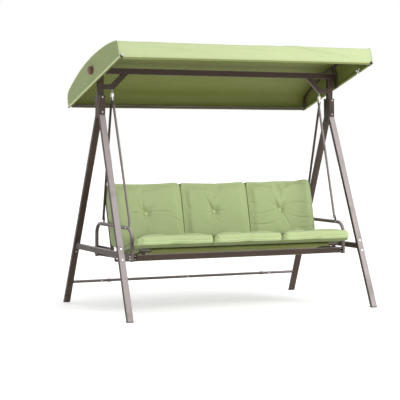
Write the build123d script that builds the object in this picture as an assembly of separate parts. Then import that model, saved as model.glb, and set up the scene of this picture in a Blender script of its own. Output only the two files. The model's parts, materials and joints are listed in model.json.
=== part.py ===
from build123d import *
import math
import os

# Canopy swing bench. Millimetres, +X to the right seen from the front, +Y to the rear, +Z up.
# The origin is on the ground, in the middle between the four feet.
# Right-hand pieces (at +X) are modelled and the left-hand ones are their mirror images.

os.makedirs("parts", exist_ok=True)

# ---- clearances and fasteners ----
RUNNING_GAP = 0.06          # radial play of a pin in a bore that turns on it
HOLE_PLAY = 0.2             # radial play of a bolt in a plain hole
BOLT_R = 4.0                # M8 bolts throughout
HEAD_R = 7.0
HEAD_H = 5.0
TIP = 3.0                   # thread that shows past a nut

# ---- A-frames ----
LEG_W = 50.0                # leg tube across X
LEG_D = 30.0                # leg tube along Y
LEG_WALL = 1.5
FOOT_X = 1059.5             # leg centre at the ground
APEX_X = 1030.0             # leg centre at the bend
FOOT_Y = 663.3
BEND_Z = 1523.0             # above this the legs stand upright and clamp the post
LEG_TOP_Z = 1675.0
LEG_BEND_R = 35.0
PLUG_PLAY = 0.2             # between a foot plug's stem and the leg's wall
PLUG_TOP = 40.0
SOLE_T = 8.0
APEX_BOLT_Z = (1548.0, 1662.0)

# ---- upper frame ----
POST_BOTTOM_Z = 1500.0
BEAM_Z0 = 1843.0
BEAM_Z1 = 1890.0
BEAM_D = 40.0
BEAM_END_X = 1066.0
TUBE_WALL = 1.5
GUSSET_W = 40.0
GUSSET_D = 30.0
GUSSET_Z = 1743.0
GUSSET_KNEE_X = 931.0
GUSSET_RISE = 160.0         # past the beam's underside, where it is cut off
SPLICE_HALF = 90.0
PLUG_DEPTH = 34.0           # beam end plug inside the beam
PLUG_LIP = 4.0

# ---- crossbars between front and rear legs ----
CROSS_Z = 478.5
CROSS_H = 43.0
CROSS_W = 30.0
PLATE_T = 4.0               # welded end plate
PLATE_LEN = 116.0
CROSS_BOLT_PITCH = 84.0     # along the leg

# ---- rear stretcher ----
STRETCH_Z = 172.0
STRETCH_R = 11.0
STRETCH_WALL = 1.2
STRETCH_JOINT_X = 715.0
STRETCH_BOLT_X = 784.0
COLLAR_R = 14.0
COLLAR_LEN = 26.0

# ---- hangers ----
HANG_X = 931.0
EYE_Z = 1711.0
EYE_WIRE_R = 3.0
EYE_INNER_R = 5.5
SHACKLE_R = 2.5
SHACKLE_HALF = 7.5
PIVOT_Z = EYE_Z - EYE_INNER_R + SHACKLE_R + 0.08    # shackle bar hangs in the bottom of the eye
BARREL_TOP = 1697.0
BARREL_BOTTOM = 1667.0
BARREL_R = 14.0
TONGUE_T = 6.0
TONGUE_W = 22.0
PIN_Z = 1645.0              # bolt that carries the two rods

# ---- hanger rods ----
ROD_R = 9.5
ROD_WALL = 1.2
TAB_T = 5.0
TAB_R = 12.0
TAB_OVERLAP = 20.0          # length of flattened end that runs into the round tube
ROD_TOP_GAP = 42.0          # from the upper bolt to where the round tube begins
ROD_FOOT_GAP = 34.0
FRONT_ROD_FOOT = (-310.0, 668.0)
REAR_ROD_FOOT = (210.0, 668.0)

# ---- seat frame ----
HOOP_X = 932.0
HOOP_R = 14.0
HOOP_FRONT_Y = -398.0
HOOP_REAR_Y = 315.0
HOOP_TOP_Z = 668.0
HOOP_BEND = 85.0
HOOP_FRONT_Z0 = 418.0
HOOP_REAR_Z0 = 402.0
RAIL_W = 24.0               # side rail across X
SIDE_RAIL_H = 50.0
FRONT_RAIL_Y = -400.0
FRONT_RAIL_Z = 447.0
FRONT_RAIL_H = 44.0
FRONT_RAIL_D = 24.0
SLING_TUBE_R = 13.0
SLING_TUBE_Z = 497.0
SLING_TUBE_HALF = 868.0
SLING_FOOT_X = 840.0
SEAT_WALL = 1.5             # wall of the seat's round tubes
REAR_RAIL_R = 12.5
REAR_RAIL_Z = 424.0
BACK_X = 900.0
BACK_R = 12.5
BACK_FOOT = (57.0, 424.0)   # Y and Z of the back frame's lower end
BACK_TOP = (217.0, 957.0)   # Y and Z of its top rail
BACK_BEND = 75.0
LINK_Z = 478.0
LINK_T = 4.6
LINK_H = 22.0
LOWER_RAIL_R = 11.0
LUG_T = 7.8                 # lugs that hang the lower cross rail from the side rails
LUG_W = 22.0
LUG_HEIGHT = 54.0
LOWER_RAIL = (40.0, 388.0)  # Y and Z of the cross rail where seat and back slings meet
SLING_HALF = 782.0
SLING_T = 2.0

# ---- cushions ----
SEAT_HALF = 913.0
SEAT_FRONT_Y = -507.0
SEAT_FRONT_TOP_Z = 622.0
BACK_HALF = 893.0
CUSHION_GAP = 3.0
SEAT_DIVIDE = 305.0
BACK_DIVIDE = 298.0

# ---- canopy, in its own frame: origin on the tilt axis, level ----
TILT_DEG = -18.5            # rest tilt, rear side down
TILT_Z = 1867.0
CANOPY_HALF = 1100.0
CLOTH_T = 2.0
FRONT_DEPTH = 550.0         # tilt axis to the front and rear valances
REAR_DEPTH = 567.0
HEM_Z = -101.0
FRONT_SHOULDER_Z = 20.0
REAR_SHOULDER_Z = 7.0
CROWN_Z = 99.0
FRONT_SHOULDER_R = 25.0
REAR_SHOULDER_R = 75.0
ARCH_FRONT_BEND_R = 30.0
ARCH_TUBE_R = 9.0
CANOPY_TUBE_WALL = 1.2
ARCH_X = 1088.0
CROSS_TUBE_R = 9.0
BRACKET_T = 5.0
BRACKET_W = 56.0
STUD_R = 5.0
KNOB_R = 33.0
KNOB_LEN = 27.0
NECK_R = 13.0


# ================= helpers =================

def on_right_and_left(shape, name):
    """Writes a right-hand piece and its mirror image."""
    save(shape, name + "_right")
    save(mirror(shape, about=Plane.YZ), name + "_left")


def pair(shape):
    """A right-hand piece and its mirror image as separate solids of one node."""
    return solids_of([shape, mirror(shape, about=Plane.YZ)])


def solids_of(shapes):
    solids = []
    for shape in shapes:
        solids.extend(shape.solids())
    return Compound(solids)


def save(shape, name):
    export_step(shape, f"parts/{name}.step")


def run_plane(start, end):
    """A plane at start that faces end, with its local x as close to global X as it can be."""
    direction = (Vector(*end) - Vector(*start)).normalized()
    sideways = Vector(1, 0, 0) if abs(direction.X) < 0.9 else Vector(0, 1, 0)
    x_dir = (sideways - direction * sideways.dot(direction)).normalized()
    return Plane(origin=start, x_dir=x_dir, z_dir=direction)


def distance(start, end):
    return (Vector(*end) - Vector(*start)).length


def rod(start, end, radius):
    return extrude(run_plane(start, end) * Circle(radius), amount=distance(start, end))


def tube(start, end, radius, wall):
    """Straight round tube with open ends."""
    return rod(start, end, radius) - rod(start, end, radius - wall)


def box_tube(start, end, width, height, wall, corner=4.0):
    """Straight rectangular tube with open ends; width lies along local x."""
    plane = run_plane(start, end)
    length = distance(start, end)
    outer = extrude(plane * RectangleRounded(width, height, corner), amount=length)
    inner_corner = corner - wall
    inner = plane * RectangleRounded(width - 2 * wall, height - 2 * wall, inner_corner)
    return outer - extrude(inner, amount=length)


def bent_tube(points, bend, radius, wall):
    """Round tube along straight runs with one bend radius."""
    path = FilletPolyline(*points, radius=bend)
    start = Plane(origin=path @ 0, z_dir=path % 0)
    outer = sweep(start * Circle(radius), path=path)
    inner = sweep(start * Circle(radius - wall), path=path)
    return outer - inner


def offset_line(points, distance_out):
    """Points of a polyline moved sideways by distance_out, with mitred corners."""
    moved = []
    count = len(points)
    for i in range(count):
        before = points[max(i - 1, 0)]
        here = points[i]
        after = points[min(i + 1, count - 1)]
        d1 = (here - before).normalized() if i > 0 else (after - here).normalized()
        d2 = (after - here).normalized() if i < count - 1 else d1
        n1 = Vector(-d1.Y, d1.X)
        n2 = Vector(-d2.Y, d2.X)
        mitre = (n1 + n2) * (1.0 / (1.0 + n1.dot(n2)))
        moved.append(here + mitre * distance_out)
    return moved


def band(points, width, plane):
    """Flat strip of the given width along a polyline, drawn on a plane."""
    line = [Vector(*p) for p in points]
    outline = offset_line(line, width / 2) + offset_line(line, -width / 2)[::-1]
    return plane * make_face(Polyline(*[(v.X, v.Y) for v in outline], close=True))


def bolt(head_at, direction, grip):
    """Hexagon bolt and nut as one solid: head outside head_at, nut past the grip."""
    start = Vector(*head_at)
    unit = Vector(*direction).normalized()
    end = start + unit * grip
    head = extrude(run_plane(start, start - unit) * RegularPolygon(HEAD_R, 6), amount=HEAD_H)
    nut = extrude(run_plane(end, end + unit) * RegularPolygon(HEAD_R, 6), amount=HEAD_H)
    return head + nut + rod(start, end + unit * (HEAD_H + TIP), BOLT_R)


def bolt_hole(head_at, direction, grip):
    start = Vector(*head_at)
    unit = Vector(*direction).normalized()
    return rod(start - unit * 2.0, start + unit * (grip + 2.0), BOLT_R + HOLE_PLAY)


# ================= A-frames =================

LEAN = math.degrees(math.atan2(FOOT_X - APEX_X, BEND_Z))
LEG_SLOPE = (FOOT_Y - LEG_D) / BEND_Z       # run along Y for each unit of height
LEG_ANGLE = math.atan(LEG_SLOPE)


def leg_centre_y(z):
    """Y of the rear leg's centre at height z, below the bend."""
    return LEG_D + LEG_SLOPE * (BEND_Z - z)


def lean(shape):
    """Leans a leg piece outwards by the A-frame's splay, turning it about the bend."""
    return Pos(APEX_X, 0, BEND_Z) * (Rot(0, -LEAN, 0) * (Pos(0, 0, -BEND_Z) * shape))


def leg_line(side, drop):
    return [(side * (leg_centre_y(-drop)), -drop), (side * LEG_D, BEND_Z), (side * LEG_D, LEG_TOP_Z)]


def leg_solid(side, thickness, width, drop=60.0):
    """A bent bar along the leg's line. side is +1 at the rear and -1 at the front."""
    face = band(leg_line(side, drop), thickness, Plane.YZ)
    bar = extrude(face, amount=width / 2, both=True)
    edges = bar.edges().filter_by(Axis.X).filter_by_position(Axis.Z, BEND_Z - 30, BEND_Z + 30)
    return fillet(edges, LEG_BEND_R)


def rounded_leg_solid(side, thickness, width, corner, drop=60.0):
    bar = leg_solid(side, thickness, width, drop)
    long_edges = bar.edges().filter_by(lambda e: abs((e % 0.5).X) < 0.01 and e.length > 60)
    return fillet(long_edges, corner)


def above(z):
    return Pos(0, 0, z + 2000) * Box(5000, 5000, 4000)


def post_bolts():
    """Start points of the bolts that clamp front leg, post and rear leg together."""
    return [(APEX_X, -1.5 * LEG_D, z) for z in APEX_BOLT_Z]


def cross_bolt_starts(side):
    """Head positions of the bolts of a crossbar's end plate, on the leg's outer face before it is leaned."""
    points = []
    for step in (-0.5, 0.5):
        centre_z = CROSS_Z + step * CROSS_BOLT_PITCH * math.cos(LEG_ANGLE)
        head_y = leg_centre_y(centre_z) + LEG_D / 2 * math.cos(LEG_ANGLE)
        head_z = centre_z + LEG_D / 2 * math.sin(LEG_ANGLE)
        points.append((0, side * head_y, head_z))
    return points


def leg_x(z):
    """X of the leg's centre at height z."""
    return APEX_X + (BEND_Z - z) * math.tan(math.radians(LEAN))


def inward(side):
    """Direction into the leg, square to its outer face."""
    return (0, -side * math.cos(LEG_ANGLE), -math.sin(LEG_ANGLE))


def leg(side):
    outer = lean(rounded_leg_solid(side, LEG_D, LEG_W, 4.0))
    inner = lean(leg_solid(side, LEG_D - 2 * LEG_WALL, LEG_W - 2 * LEG_WALL))
    body = (outer - inner) & above(SOLE_T)
    for start in post_bolts():
        body -= bolt_hole(start, (0, 1, 0), 3 * LEG_D)
    for start in cross_bolt_starts(side):
        body -= lean(bolt_hole(start, inward(side), LEG_D))
    if side > 0:
        outside = (leg_x(STRETCH_Z) + LEG_W, leg_centre_y(STRETCH_Z), STRETCH_Z)
        body -= bolt_hole(outside, (-1, 0, 0), 2 * LEG_W)
    return body


def foot_plug(side):
    """Plastic plug in a leg's end, with a flat sole on the ground."""
    sole = (lean(rounded_leg_solid(side, LEG_D, LEG_W, 4.0)) & above(0)) - above(SOLE_T)
    inset = 2 * (LEG_WALL + PLUG_PLAY)
    stem = lean(leg_solid(side, LEG_D - inset, LEG_W - inset)) & above(SOLE_T / 2)
    return sole + (stem - above(PLUG_TOP))


def leg_top_plug(side):
    """Flat plastic plug in a leg's upper end."""
    top = lean(Pos(0, side * LEG_D, LEG_TOP_Z + 1.5) * Box(LEG_W, LEG_D, 3.0))
    inside = Box(LEG_W - 2 * LEG_WALL - 0.4, LEG_D - 2 * LEG_WALL - 0.4, 8.0)
    return top + lean(Pos(0, side * LEG_D, LEG_TOP_Z - 4) * inside)


def post():
    body = box_tube((APEX_X, 0, POST_BOTTOM_Z), (APEX_X, 0, BEAM_Z0), LEG_W, LEG_D, LEG_WALL)
    for start in post_bolts():
        body -= bolt_hole(start, (0, 1, 0), 3 * LEG_D)
    return body


def apex_bolts():
    return [bolt(start, (0, 1, 0), 3 * LEG_D) for start in post_bolts()]


# ================= upper frame =================

def beam():
    middle_z = (BEAM_Z0 + BEAM_Z1) / 2
    return box_tube((0.4, 0, middle_z), (BEAM_END_X, 0, middle_z), BEAM_D, BEAM_Z1 - BEAM_Z0, TUBE_WALL)


def beam_splice():
    """Inner sleeve that joins the two halves of the beam."""
    middle_z = (BEAM_Z0 + BEAM_Z1) / 2
    width = BEAM_D - 2 * TUBE_WALL - 0.6
    height = BEAM_Z1 - BEAM_Z0 - 2 * TUBE_WALL - 0.6
    return box_tube((-SPLICE_HALF, 0, middle_z), (SPLICE_HALF, 0, middle_z), width, height, 2.0)


def gusset():
    """Bent brace: a short level arm from the post that also carries the hanger, then up to the beam."""
    post_face = APEX_X - LEG_W / 2
    start = (post_face + GUSSET_W / 2, GUSSET_Z)
    line = [start, (GUSSET_KNEE_X, GUSSET_Z), (GUSSET_KNEE_X - GUSSET_RISE, GUSSET_Z + GUSSET_RISE)]
    outer = extrude(band(line, GUSSET_W, Plane.XZ), amount=GUSSET_D / 2, both=True)
    inner_face = band(line, GUSSET_W - 2 * TUBE_WALL, Plane.XZ)
    inner = extrude(inner_face, amount=GUSSET_D / 2 - TUBE_WALL, both=True)
    room = Pos(post_face - 200, 0, BEAM_Z0 - 200) * Box(400, 100, 400)
    body = (outer - inner) & room
    return body - rod((HANG_X, 0, GUSSET_Z - 40), (HANG_X, 0, GUSSET_Z), BOLT_R + HOLE_PLAY)


def eyebolt():
    """Eye under the brace's level arm, with its nut inside the tube."""
    ring = Pos(HANG_X, 0, EYE_Z) * (Rot(0, 90, 0) * Torus(EYE_INNER_R + EYE_WIRE_R, EYE_WIRE_R))
    arm_bottom = GUSSET_Z - GUSSET_W / 2
    wall_top = arm_bottom + TUBE_WALL
    ring_top = EYE_Z + EYE_INNER_R + EYE_WIRE_R
    shank = rod((HANG_X, 0, ring_top), (HANG_X, 0, wall_top + 9), BOLT_R)
    nut = Pos(HANG_X, 0, wall_top) * extrude(RegularPolygon(HEAD_R, 6), amount=6)
    washer = rod((HANG_X, 0, arm_bottom - 1.0), (HANG_X, 0, arm_bottom), 9.0)
    return ring + shank + nut + washer


def beam_end_plug():
    """Plug in the beam's end, bored for the knob's stud."""
    middle_z = (BEAM_Z0 + BEAM_Z1) / 2
    width = BEAM_D - 2 * TUBE_WALL - 0.1
    height = BEAM_Z1 - BEAM_Z0 - 2 * TUBE_WALL - 0.1
    plane = Plane(origin=(BEAM_END_X - PLUG_DEPTH, 0, middle_z), x_dir=(0, 1, 0), z_dir=(1, 0, 0))
    body = extrude(plane * RectangleRounded(width, height, 2.4), amount=PLUG_DEPTH)
    lip_plane = Plane(origin=(BEAM_END_X, 0, middle_z), x_dir=(0, 1, 0), z_dir=(1, 0, 0))
    lip = extrude(lip_plane * RectangleRounded(BEAM_D, BEAM_Z1 - BEAM_Z0, 4), amount=PLUG_LIP)
    boss = rod((BEAM_END_X + PLUG_LIP, 0, TILT_Z), (BRACKET_X - 0.4, 0, TILT_Z), 12.0)
    bore = rod((BEAM_END_X - 60, 0, TILT_Z), (BEAM_END_X + 20, 0, TILT_Z), STUD_R + RUNNING_GAP)
    return body + lip + boss - bore


# ================= crossbars and stretcher =================

def end_plate_place(side, depth):
    """Place on the leg's inner face, before it is leaned, at a depth past that face."""
    reach = LEG_D / 2 + depth
    y = leg_centre_y(CROSS_Z) - reach * math.cos(LEG_ANGLE)
    z = CROSS_Z - reach * math.sin(LEG_ANGLE)
    return Pos(0, side * y, z) * Rot(side * math.degrees(LEG_ANGLE), 0, 0)


def crossbar():
    """Side crossbar with an end plate welded to each end, bolted to the legs' inner faces."""
    x = leg_x(CROSS_Z)
    body = box_tube((x, -700, CROSS_Z), (x, 700, CROSS_Z), CROSS_W, CROSS_H, TUBE_WALL)
    for side in (-1, 1):
        body -= lean(end_plate_place(side, PLATE_T - 0.5) * (Pos(0, side * 300, 0) * Box(200, 600, 900)))
    for side in (-1, 1):
        body += lean(end_plate_place(side, PLATE_T / 2 + 0.02) * Box(44, PLATE_T, PLATE_LEN))
    for side in (-1, 1):
        for start in cross_bolt_starts(side):
            body -= lean(bolt_hole(start, inward(side), LEG_D + PLATE_T))
    return body


def crossbar_bolts():
    bolts = []
    for side in (-1, 1):
        for start in cross_bolt_starts(side):
            bolts.append(lean(bolt(start, inward(side), LEG_D + PLATE_T + 0.05)))
    return bolts


STRETCH_Y = leg_centre_y(STRETCH_Z)
STRETCH_END_X = leg_x(STRETCH_Z) - LEG_W / 2 - 0.6


def stretcher_side():
    """Outer length of the rear stretcher, from the leg to the joint collar."""
    start = (STRETCH_JOINT_X, STRETCH_Y, STRETCH_Z)
    end = (STRETCH_END_X, STRETCH_Y, STRETCH_Z)
    body = tube(start, end, STRETCH_R, STRETCH_WALL)
    return body - bolt_hole((STRETCH_BOLT_X, STRETCH_Y - 12, STRETCH_Z), (0, 1, 0), 24)


def stretcher_middle():
    start = (-STRETCH_JOINT_X + 0.5, STRETCH_Y, STRETCH_Z)
    end = (STRETCH_JOINT_X - 0.5, STRETCH_Y, STRETCH_Z)
    body = tube(start, end, STRETCH_R, STRETCH_WALL)
    return body - bolt_hole((0, STRETCH_Y - 12, STRETCH_Z), (0, 1, 0), 24)


def stretcher_collar():
    start = (STRETCH_JOINT_X - COLLAR_LEN / 2, STRETCH_Y, STRETCH_Z)
    end = (STRETCH_JOINT_X + COLLAR_LEN / 2, STRETCH_Y, STRETCH_Z)
    return rod(start, end, COLLAR_R) - rod(start, end, STRETCH_R + 0.05)


def stretcher_bolts():
    """Bolts through the outer lengths, and the one that screws each end to its leg."""
    through = bolt((STRETCH_BOLT_X, STRETCH_Y - STRETCH_R, STRETCH_Z), (0, 1, 0), 2 * STRETCH_R)
    leg_face = leg_x(STRETCH_Z) + LEG_W / 2 + 0.5
    nut_end = STRETCH_END_X - 22
    head_plane = run_plane((leg_face, STRETCH_Y, STRETCH_Z), (leg_face + HEAD_H, STRETCH_Y, STRETCH_Z))
    head = extrude(head_plane * RegularPolygon(HEAD_R, 6), amount=HEAD_H)
    shank = rod((leg_face, STRETCH_Y, STRETCH_Z), (nut_end - TIP, STRETCH_Y, STRETCH_Z), BOLT_R)
    nut_r = STRETCH_R - STRETCH_WALL - 0.05
    nut = rod((STRETCH_END_X, STRETCH_Y, STRETCH_Z), (nut_end, STRETCH_Y, STRETCH_Z), nut_r)
    return [through, head + shank + nut]


# ================= hangers =================

def shackle():
    """U-shaped link whose top bar turns in the eye."""
    bar_z = PIVOT_Z
    bar = rod((HANG_X - SHACKLE_HALF, 0, bar_z), (HANG_X + SHACKLE_HALF, 0, bar_z), SHACKLE_R)
    cheeks = bar
    for side in (-1, 1):
        x = HANG_X + side * SHACKLE_HALF
        cheeks += rod((x, 0, BARREL_TOP), (x, 0, bar_z), SHACKLE_R)
        cheeks += Pos(x, 0, bar_z) * Sphere(SHACKLE_R)
    return cheeks


def barrel():
    """Steel barrel under the shackle, with the flat tongue that the rods' bolt passes through."""
    body = rod((HANG_X, 0, BARREL_BOTTOM), (HANG_X, 0, BARREL_TOP), BARREL_R)
    body = chamfer(body.edges().filter_by(GeomType.CIRCLE), 2.0)
    tongue_z = (BARREL_BOTTOM + PIN_Z) / 2 + 1
    tongue = Pos(HANG_X, 0, tongue_z) * Box(TONGUE_T, TONGUE_W, BARREL_BOTTOM - PIN_Z + 2)
    eye = rod((HANG_X - TONGUE_T / 2, 0, PIN_Z), (HANG_X + TONGUE_T / 2, 0, PIN_Z), TONGUE_W / 2)
    bore = rod((HANG_X - 20, 0, PIN_Z), (HANG_X + 20, 0, PIN_Z), BOLT_R + RUNNING_GAP)
    return body + tongue + eye - bore


TAB_GAP = 0.4
FRONT_TAB_X = HANG_X - TONGUE_T / 2 - TAB_GAP - TAB_T / 2
REAR_TAB_X = HANG_X + TONGUE_T / 2 + TAB_GAP + TAB_T / 2
FOOT_TAB_X = HOOP_X - HOOP_R - TAB_GAP - TAB_T / 2


def tab(x, centre, towards, length):
    """Flattened end of a rod: a plate square to X around the bolt, running along the rod."""
    cy, cz = centre
    dy, dz = towards[0] - cy, towards[1] - cz
    size = math.hypot(dy, dz)
    plane = Plane(origin=(x - TAB_T / 2, cy, cz), x_dir=(0, dy / size, dz / size), z_dir=(1, 0, 0))
    strip = plane * (Pos(length / 2, 0) * Rectangle(length, 2 * TAB_R))
    return extrude(strip, amount=TAB_T) + extrude(plane * Circle(TAB_R), amount=TAB_T)


def hanger_rod(top_tab_x, foot, foot_axis_x):
    """Round tube with flattened, drilled ends, from the hanger's bolt to the armrest."""
    top = (0.0, PIN_Z)
    length = math.hypot(foot[0], PIN_Z - foot[1])
    top_share = ROD_TOP_GAP / length
    foot_share = 1.0 - ROD_FOOT_GAP / length

    def point(share):
        x = top_tab_x + (foot_axis_x - top_tab_x) * share
        return (x, foot[0] * share, PIN_Z + (foot[1] - PIN_Z) * share)

    body = tube(point(top_share), point(foot_share), ROD_R, ROD_WALL)
    body += tab(top_tab_x, top, foot, ROD_TOP_GAP + TAB_OVERLAP)
    body += tab(FOOT_TAB_X, foot, top, ROD_FOOT_GAP + TAB_OVERLAP)
    for (y, z) in (top, foot):
        body -= rod((top_tab_x - 60, y, z), (top_tab_x + 60, y, z), BOLT_R + RUNNING_GAP)
    return body


def front_rod():
    return hanger_rod(FRONT_TAB_X, FRONT_ROD_FOOT, HOOP_X - HOOP_R - 10.4)


def rear_rod():
    return hanger_rod(REAR_TAB_X, REAR_ROD_FOOT, HOOP_X - 11.0)


def hanger_bolts():
    """The bolt through each hanger's tongue, and those that hold the rods to the armrest."""
    half = TONGUE_T / 2 + TAB_GAP + TAB_T
    bolts = [bolt((HANG_X + half, 0, PIN_Z), (-1, 0, 0), 2 * half)]
    for (y, z) in (FRONT_ROD_FOOT, REAR_ROD_FOOT):
        outer = HOOP_X + HOOP_R
        inner = FOOT_TAB_X - TAB_T / 2
        bolts.append(bolt((outer, y, z), (-1, 0, 0), outer - inner))
    return bolts


# ================= seat frame =================

def armrest():
    """Hoop of round tube: armrest and the seat frame's end upright in one."""
    points = [
        (HOOP_X, HOOP_FRONT_Y, HOOP_FRONT_Z0),
        (HOOP_X, HOOP_FRONT_Y, HOOP_TOP_Z),
        (HOOP_X, HOOP_REAR_Y, HOOP_TOP_Z),
        (HOOP_X, HOOP_REAR_Y, HOOP_REAR_Z0),
    ]
    body = bent_tube(points, HOOP_BEND, HOOP_R, SEAT_WALL)
    for (y, z) in (FRONT_ROD_FOOT, REAR_ROD_FOOT):
        body -= rod((HOOP_X - 30, y, z), (HOOP_X + 30, y, z), BOLT_R + HOLE_PLAY)
    for (y, z) in armrest_bolt_places() + [(HOOP_REAR_Y, LINK_Z)]:
        body -= rod((HOOP_X - 30, y, z), (HOOP_X + 30, y, z), BOLT_R + HOLE_PLAY)
    return body


def armrest_bolt_places():
    return [(HOOP_FRONT_Y, 437.0), (HOOP_FRONT_Y, 459.0), (HOOP_REAR_Y, REAR_RAIL_Z)]


SIDE_RAIL_X = HOOP_X - HOOP_R - RAIL_W / 2
SIDE_RAIL_FRONT = (FRONT_RAIL_Y - FRONT_RAIL_D / 2, 447.0)
SIDE_RAIL_REAR = (332.0, 428.0)


def side_rail():
    start = (SIDE_RAIL_X, *SIDE_RAIL_FRONT)
    end = (SIDE_RAIL_X, *SIDE_RAIL_REAR)
    body = box_tube(start, end, RAIL_W, SIDE_RAIL_H - 4, TUBE_WALL, corner=3)
    for (y, z) in armrest_bolt_places() + [BACK_FOOT]:
        body -= rod((SIDE_RAIL_X - 30, y, z), (SIDE_RAIL_X + 30, y, z), BOLT_R + HOLE_PLAY)
    return body


def front_rail():
    half = SIDE_RAIL_X - RAIL_W / 2
    start = (-half, FRONT_RAIL_Y, FRONT_RAIL_Z)
    end = (half, FRONT_RAIL_Y, FRONT_RAIL_Z)
    return box_tube(start, end, FRONT_RAIL_D, FRONT_RAIL_H, TUBE_WALL, corner=3)


def rear_rail():
    half = SIDE_RAIL_X - RAIL_W / 2
    return tube((-half, HOOP_REAR_Y, REAR_RAIL_Z), (half, HOOP_REAR_Y, REAR_RAIL_Z), REAR_RAIL_R, SEAT_WALL)


def sling_front_tube():
    """Round tube above the front rail that the seat sling is wrapped around, on two welded feet."""
    start = (-SLING_TUBE_HALF, FRONT_RAIL_Y, SLING_TUBE_Z)
    end = (SLING_TUBE_HALF, FRONT_RAIL_Y, SLING_TUBE_Z)
    body = tube(start, end, SLING_TUBE_R, SEAT_WALL)
    rail_top = FRONT_RAIL_Z + FRONT_RAIL_H / 2
    foot_height = SLING_TUBE_Z - rail_top
    for side in (-1, 1):
        foot = Pos(side * SLING_FOOT_X, FRONT_RAIL_Y, rail_top + foot_height / 2) * Box(30, 8, foot_height)
        body += foot - rod(start, end, SLING_TUBE_R - 1)
    return body


def back_direction():
    dy = BACK_TOP[0] - BACK_FOOT[0]
    dz = BACK_TOP[1] - BACK_FOOT[1]
    size = math.hypot(dy, dz)
    return dy / size, dz / size


BACK_TUBE_START_SHARE = 0.085   # where the round tube begins, above the flattened foot
BACK_JOINT_SHARE = 0.76         # where the side tubes meet the top rail's ends
BACK_LUG_LEN = 80.0


def back_point(share, x):
    y = BACK_FOOT[0] + share * (BACK_TOP[0] - BACK_FOOT[0])
    z = BACK_FOOT[1] + share * (BACK_TOP[1] - BACK_FOOT[1])
    return (x, y, z)


def back_foot():
    """Flattened foot of a back side tube, bolted to the side rail's inner face."""
    x = SIDE_RAIL_X - RAIL_W / 2 - TAB_T / 2 - 0.2
    lug = tab(x, BACK_FOOT, BACK_TOP, BACK_LUG_LEN)
    return lug - rod((x - 30, *BACK_FOOT), (x + 30, *BACK_FOOT), BOLT_R + HOLE_PLAY)


def back_side_tube():
    """Side tube of the back frame with its flattened foot, drilled for the link bar."""
    start = back_point(BACK_TUBE_START_SHARE, BACK_X)
    body = tube(start, back_point(BACK_JOINT_SHARE, BACK_X), BACK_R, SEAT_WALL) + back_foot()
    hole = rod((BACK_X - 30, *link_back_place()), (BACK_X + 30, *link_back_place()), BOLT_R + HOLE_PLAY)
    return body - hole


def back_top_rail():
    """Top of the back frame with its two rounded corners."""
    low = BACK_JOINT_SHARE
    points = [
        back_point(low + 0.001, -BACK_X),
        back_point(1.0, -BACK_X),
        back_point(1.0, BACK_X),
        back_point(low + 0.001, BACK_X),
    ]
    return bent_tube(points, BACK_BEND, BACK_R, SEAT_WALL)


def link_back_place():
    share = (LINK_Z - BACK_FOOT[1]) / (BACK_TOP[1] - BACK_FOOT[1])
    return (back_point(share, 0)[1], LINK_Z)


LINK_X = HOOP_X - HOOP_R - 0.4 - LINK_T / 2


def link_bar():
    """Flat bar that ties the back frame's side tube to the armrest's rear upright."""
    y0 = link_back_place()[0]
    y1 = HOOP_REAR_Y
    body = Pos(LINK_X, (y0 + y1) / 2, LINK_Z) * Box(LINK_T, y1 - y0, LINK_H)
    for y in (y0, y1):
        body += rod((LINK_X - LINK_T / 2, y, LINK_Z), (LINK_X + LINK_T / 2, y, LINK_Z), LINK_H / 2)
    for y in (y0, y1):
        body -= rod((LINK_X - 20, y, LINK_Z), (LINK_X + 20, y, LINK_Z), BOLT_R + HOLE_PLAY)
    return body


def seat_frame_bolts():
    outer = HOOP_X + HOOP_R
    rail_inner = SIDE_RAIL_X - RAIL_W / 2
    bolts = []
    for (y, z) in armrest_bolt_places():
        bolts.append(bolt((outer, y, z), (-1, 0, 0), outer - rail_inner))
    bolts.append(bolt((outer, HOOP_REAR_Y, LINK_Z), (-1, 0, 0), outer - LINK_X + LINK_T / 2))
    y, z = link_back_place()
    link_outer = LINK_X + LINK_T / 2
    bolts.append(small_bolt((link_outer, y, z), link_outer - BACK_X + BACK_R))
    rail_outer = SIDE_RAIL_X + RAIL_W / 2
    y, z = BACK_FOOT
    bolts.append(small_bolt((rail_outer, y, z), rail_outer - rail_inner + TAB_T + 0.2))
    return bolts


def small_bolt(head_at, grip):
    """Low-headed bolt along -X, for the places where the armrest leaves little room."""
    x, y, z = head_at
    head = rod((x, y, z), (x + 2.0, y, z), HEAD_R)
    nut_plane = run_plane((x - grip, y, z), (x - grip - 5, y, z))
    nut = extrude(nut_plane * RegularPolygon(HEAD_R, 6), amount=HEAD_H)
    return head + nut + rod((x, y, z), (x - grip, y, z), BOLT_R)


def lower_rail():
    """Cross rail under the seat's rear edge, hung from the side rails by two lugs."""
    y, z = LOWER_RAIL
    half = SIDE_RAIL_X - RAIL_W / 2 - LUG_T - 0.2
    body = tube((-half, y, z), (half, y, z), LOWER_RAIL_R, SEAT_WALL)
    for side in (-1, 1):
        body += Pos(side * (half + LUG_T / 2), y - 7, z + LUG_HEIGHT / 2) * Box(LUG_T, LUG_W, LUG_HEIGHT)
    return body


# ================= slings =================

def seat_sling_path():
    """Middle line of the seat sling, Y and Z, from under the front tube over it and down to the rear."""
    r = SLING_TUBE_R + 0.4 + SLING_T / 2
    cy, cz = FRONT_RAIL_Y, SLING_TUBE_Z
    end = (LOWER_RAIL[0] - 2, LOWER_RAIL[1] + LOWER_RAIL_R + 0.6 + SLING_T / 2)
    tangent = math.atan2(end[1] - cz - r, end[0] - cy)
    return r, (cy, cz), end, tangent


def sheet_profile(points, x_half, thickness):
    """Thin sheet along a polyline in the YZ plane, as wide as the sling."""
    face = band(points, thickness, Plane.YZ)
    return extrude(face, amount=x_half, both=True)


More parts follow.
